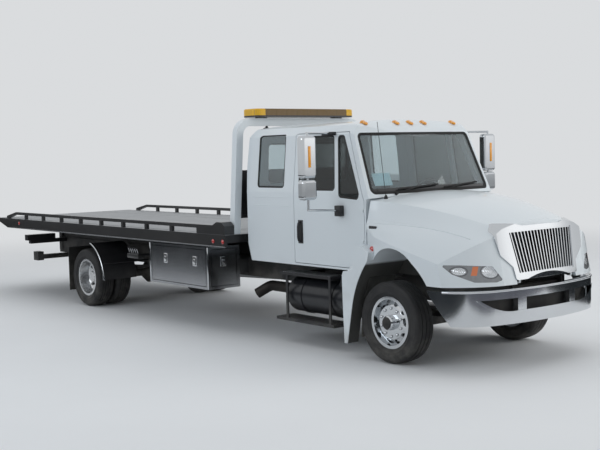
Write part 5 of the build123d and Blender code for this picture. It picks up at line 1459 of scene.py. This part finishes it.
# %% Filler cap and treads
FILLER = (at(-0.847), -0.790, 0.781)
FILLER_WAY = (0.030, 0.0, 0.075)
FILLER_CAP = [(-0.012, 0.0), (-0.012, 0.047), (0.010, 0.047), (0.018, 0.040), (0.018, 0.0)]
turned_piece("filler_cap", FILLER_CAP, FILLER, FILLER_WAY, 32, "steel")
STEP_TREADS = [
    # first station, last station, height of the tread's top
    (-1.880, -0.920, 0.285),
    (-1.800, -0.960, 0.800),
]
TREAD_COUNT = 24
TREAD_Y = (0.750, 0.965)
TREAD_BAR_HALF = 0.005
for side_name, side in SIDES:
    ys = span(side, *TREAD_Y)
    shape = bmesh.new()
    for first, last, height in STEP_TREADS:
        for index in range(TREAD_COUNT):
            middle = at(first + (last - first) * (index + 0.5) / TREAD_COUNT)
            zs = (height - 0.001, height + 0.004)
            bar(shape, around(middle, TREAD_BAR_HALF), ys, zs, 0.001)
    add(f"step_treads_{side_name}", shape, "steel")
print("tread bars", 2 * len(STEP_TREADS) * TREAD_COUNT)

# %% [markdown]
# ## Floor, light and camera
#
# A studio picture of something shiny is made by what it reflects. The floor and the world are the
# same pale grey to the camera, so no horizon shows. Three big soft lamps light the truck: one
# ahead of its left corner, one along its right side and one above. The first and the last are
# hidden from reflections. Chrome mirrors a card with feathered edges instead, so that a face goes
# from grey to white and does not burn out. A low fence, dark with a greyer front, stands round
# the truck for reflections alone, as black cards do in a studio: chrome is told from white paint
# by the dark band it shows between floor and sky.

# %% Things of the studio
REFLECTED_ONLY = ("camera", "diffuse", "shadow", "transmission")


def sheet(half_x, half_y, height=0.0):
    """Corners of a level rectangle about the middle, in order."""
    return [(x * half_x, y * half_y, height) for x, y in ((-1, -1), (1, -1), (1, 1), (-1, 1))]


def prop(name, corners, faces=((0, 1, 2, 3),), hidden_from=()):
    """Object of the studio, unseen by the rays named."""
    mesh = bpy.data.meshes.new(name)
    mesh.from_pydata(corners, [], faces)
    thing = bpy.data.objects.new(name, mesh)
    scene.collection.objects.link(thing)
    for ray in hidden_from:
        setattr(thing, f"visible_{ray}", False)
    return thing


def aim(thing, place, target):
    """Stand something at a place with its underside towards a target."""
    thing.location = place
    thing.rotation_mode = "QUATERNION"
    thing.rotation_quaternion = (Vector(target) - Vector(place)).to_track_quat("-Z", "Y")


print("props are hidden from", REFLECTED_ONLY)

# %% Floor
scene.view_settings.view_transform = "Standard"
FLOOR_REACH = 60.0
FLOOR_FADE = (5.5, 17.0)
PALE = rgb(0.70, 0.715, 0.73)
floor = prop("floor", sheet(FLOOR_REACH, FLOOR_REACH))
look = Look("floor_grey")
tone = look.mix(look.noise(0.6, 3.0), shade(PALE, 1.12), shade(PALE, 1.18))
near_floor = look.shader(tone, 0.85, Specular_IOR_Level=0.1)
far_floor = look.node("ShaderNodeEmission", {"Color": PALE, "Strength": 1.0})
to_camera = look.node("ShaderNodeLightPath", output="Is Camera Ray")
fade = look.from_point((0.0, 0.0, 0.0)).ramp(*FLOOR_FADE) * to_camera
floor.data.materials.append(look.finish(look.blend(fade, near_floor, far_floor)))
print("floor", 2 * FLOOR_REACH, "m wide")

# %% A dark fence for the reflections
FENCE_HALF = (8.8, 4.2)
FENCE_Z = (0.01, 1.25)
FENCE_TONES = {
    "fence_cloth": (rgb(0.02, 0.022, 0.025), rgb(0.06, 0.065, 0.07)),
    "fence_cloth_ahead": (rgb(0.13, 0.13, 0.15), rgb(0.22, 0.22, 0.25)),
}
FENCE_AHEAD = 1
corners = [corner for height in FENCE_Z for corner in sheet(*FENCE_HALF, height)]
faces = [(index, (index + 1) % 4, 4 + (index + 1) % 4, 4 + index) for index in range(4)]
fence = prop("reflection_fence", corners, faces, REFLECTED_ONLY)
for name, (dark, light) in FENCE_TONES.items():
    look = Look(name)
    cloth = look.mix(look.noise(0.8), dark, light)
    fence.data.materials.append(look.surface(cloth, 0.9, Specular_IOR_Level=0.0))
fence.data.polygons[FENCE_AHEAD].material_index = 1
print("fence", FENCE_HALF, FENCE_Z)

# %% A glowing card for the reflections
CARD_PLACE = (13.0, 8.8, 3.7)
CARD_TARGET = (5.0, 0.0, 1.0)
CARD_HALF = (4.2, 2.4)
CARD_GLOW = 1.35
card = prop("mirror_card", sheet(*CARD_HALF), hidden_from=REFLECTED_ONLY)
aim(card, CARD_PLACE, CARD_TARGET)
look = Look("mirror_card_glow")
soft = 1.0
for letter, half in zip("XY", CARD_HALF):
    soft = (1.0 - (abs(look.axis(letter)) / half).ramp(0.35, 1.0)) * soft
clear = look.node("ShaderNodeBsdfTransparent")
glow = look.node("ShaderNodeEmission", {"Strength": CARD_GLOW})
card.data.materials.append(look.finish(look.blend(soft, clear, glow)))
print("card", CARD_PLACE)

# %% Lamps and world
SKY_LIGHT = 0.52
SOFTBOXES = [
    # name, place, target, size, watts, tint, seen in reflections
    ("key_front", (14.0, 9.0, 5.6), (3.5, 0.0, 1.0), (9.0, 7.0), 800.0, (1.0, 0.99, 0.97), False),
    ("fill_side", (1.0, -15.0, 7.0), (0.5, 0.0, 1.0), (14.0, 5.0), 560.0, (0.88, 0.94, 1.0), True),
    ("over_head", (-1.0, 2.0, 12.0), (0, 0, 0), (22.0, 14.0), 860.0, (0.97, 0.985, 1.0), False),
]
for name, place, target, size, watts, tint, reflected in SOFTBOXES:
    light = bpy.data.lights.new(name, "AREA")
    light.shape = "RECTANGLE"
    light.size, light.size_y = size
    light.energy = watts
    light.color = tint
    lamp = bpy.data.objects.new(name, light)
    scene.collection.objects.link(lamp)
    aim(lamp, place, target)
    lamp.visible_camera = False
    lamp.visible_glossy = reflected
world = bpy.data.worlds.new("studio")
scene.world = world
world.use_nodes = True
sky = Tree(world.node_tree)
to_camera, through_glass, mirrored = [
    sky.node("ShaderNodeLightPath", output=f"Is {kind} Ray")
    for kind in ("Camera", "Transmission", "Glossy")
]
seen = to_camera.most(through_glass).most(mirrored)
strength = sky.node("ShaderNodeMapRange", {"Value": seen, "To Min": SKY_LIGHT, "To Max": 1.0})
backdrop = world.node_tree.nodes["Background"]
backdrop.inputs[0].default_value = PALE
sky.tree.links.new(strength.socket, backdrop.inputs[1])
print("lamps", len(SOFTBOXES))

# %% [markdown]
# The camera stands where the photograph was taken from: ahead of the truck and to its right,
# above head height, turned a little over a right angle's half from straight back.

# %% Camera
CAMERA_PLACE = (11.500, -8.214, 2.131)
CAMERA_YAW = 51.12
CAMERA_PITCH = 3.91
CAMERA_ROLL = -1.43
CAMERA_LENS = 62.64
camera_data = bpy.data.cameras.new("camera")
camera_data.lens = CAMERA_LENS
camera_data.sensor_width = 36.0
camera = bpy.data.objects.new("camera", camera_data)
scene.collection.objects.link(camera)
scene.camera = camera
yaw, pitch, roll = radians(CAMERA_YAW), radians(CAMERA_PITCH), radians(CAMERA_ROLL)
forward = Vector((-sin(yaw) * cos(pitch), cos(yaw) * cos(pitch), -sin(pitch)))
level = Vector((cos(yaw), sin(yaw), 0.0))
upward = level.cross(forward)
right = level * cos(roll) + upward * sin(roll)
above = upward * cos(roll) - level * sin(roll)
turn = Matrix((right, above, -forward)).transposed().to_4x4()
camera.matrix_world = Matrix.Translation(CAMERA_PLACE) @ turn
print("camera", CAMERA_PLACE, CAMERA_LENS)
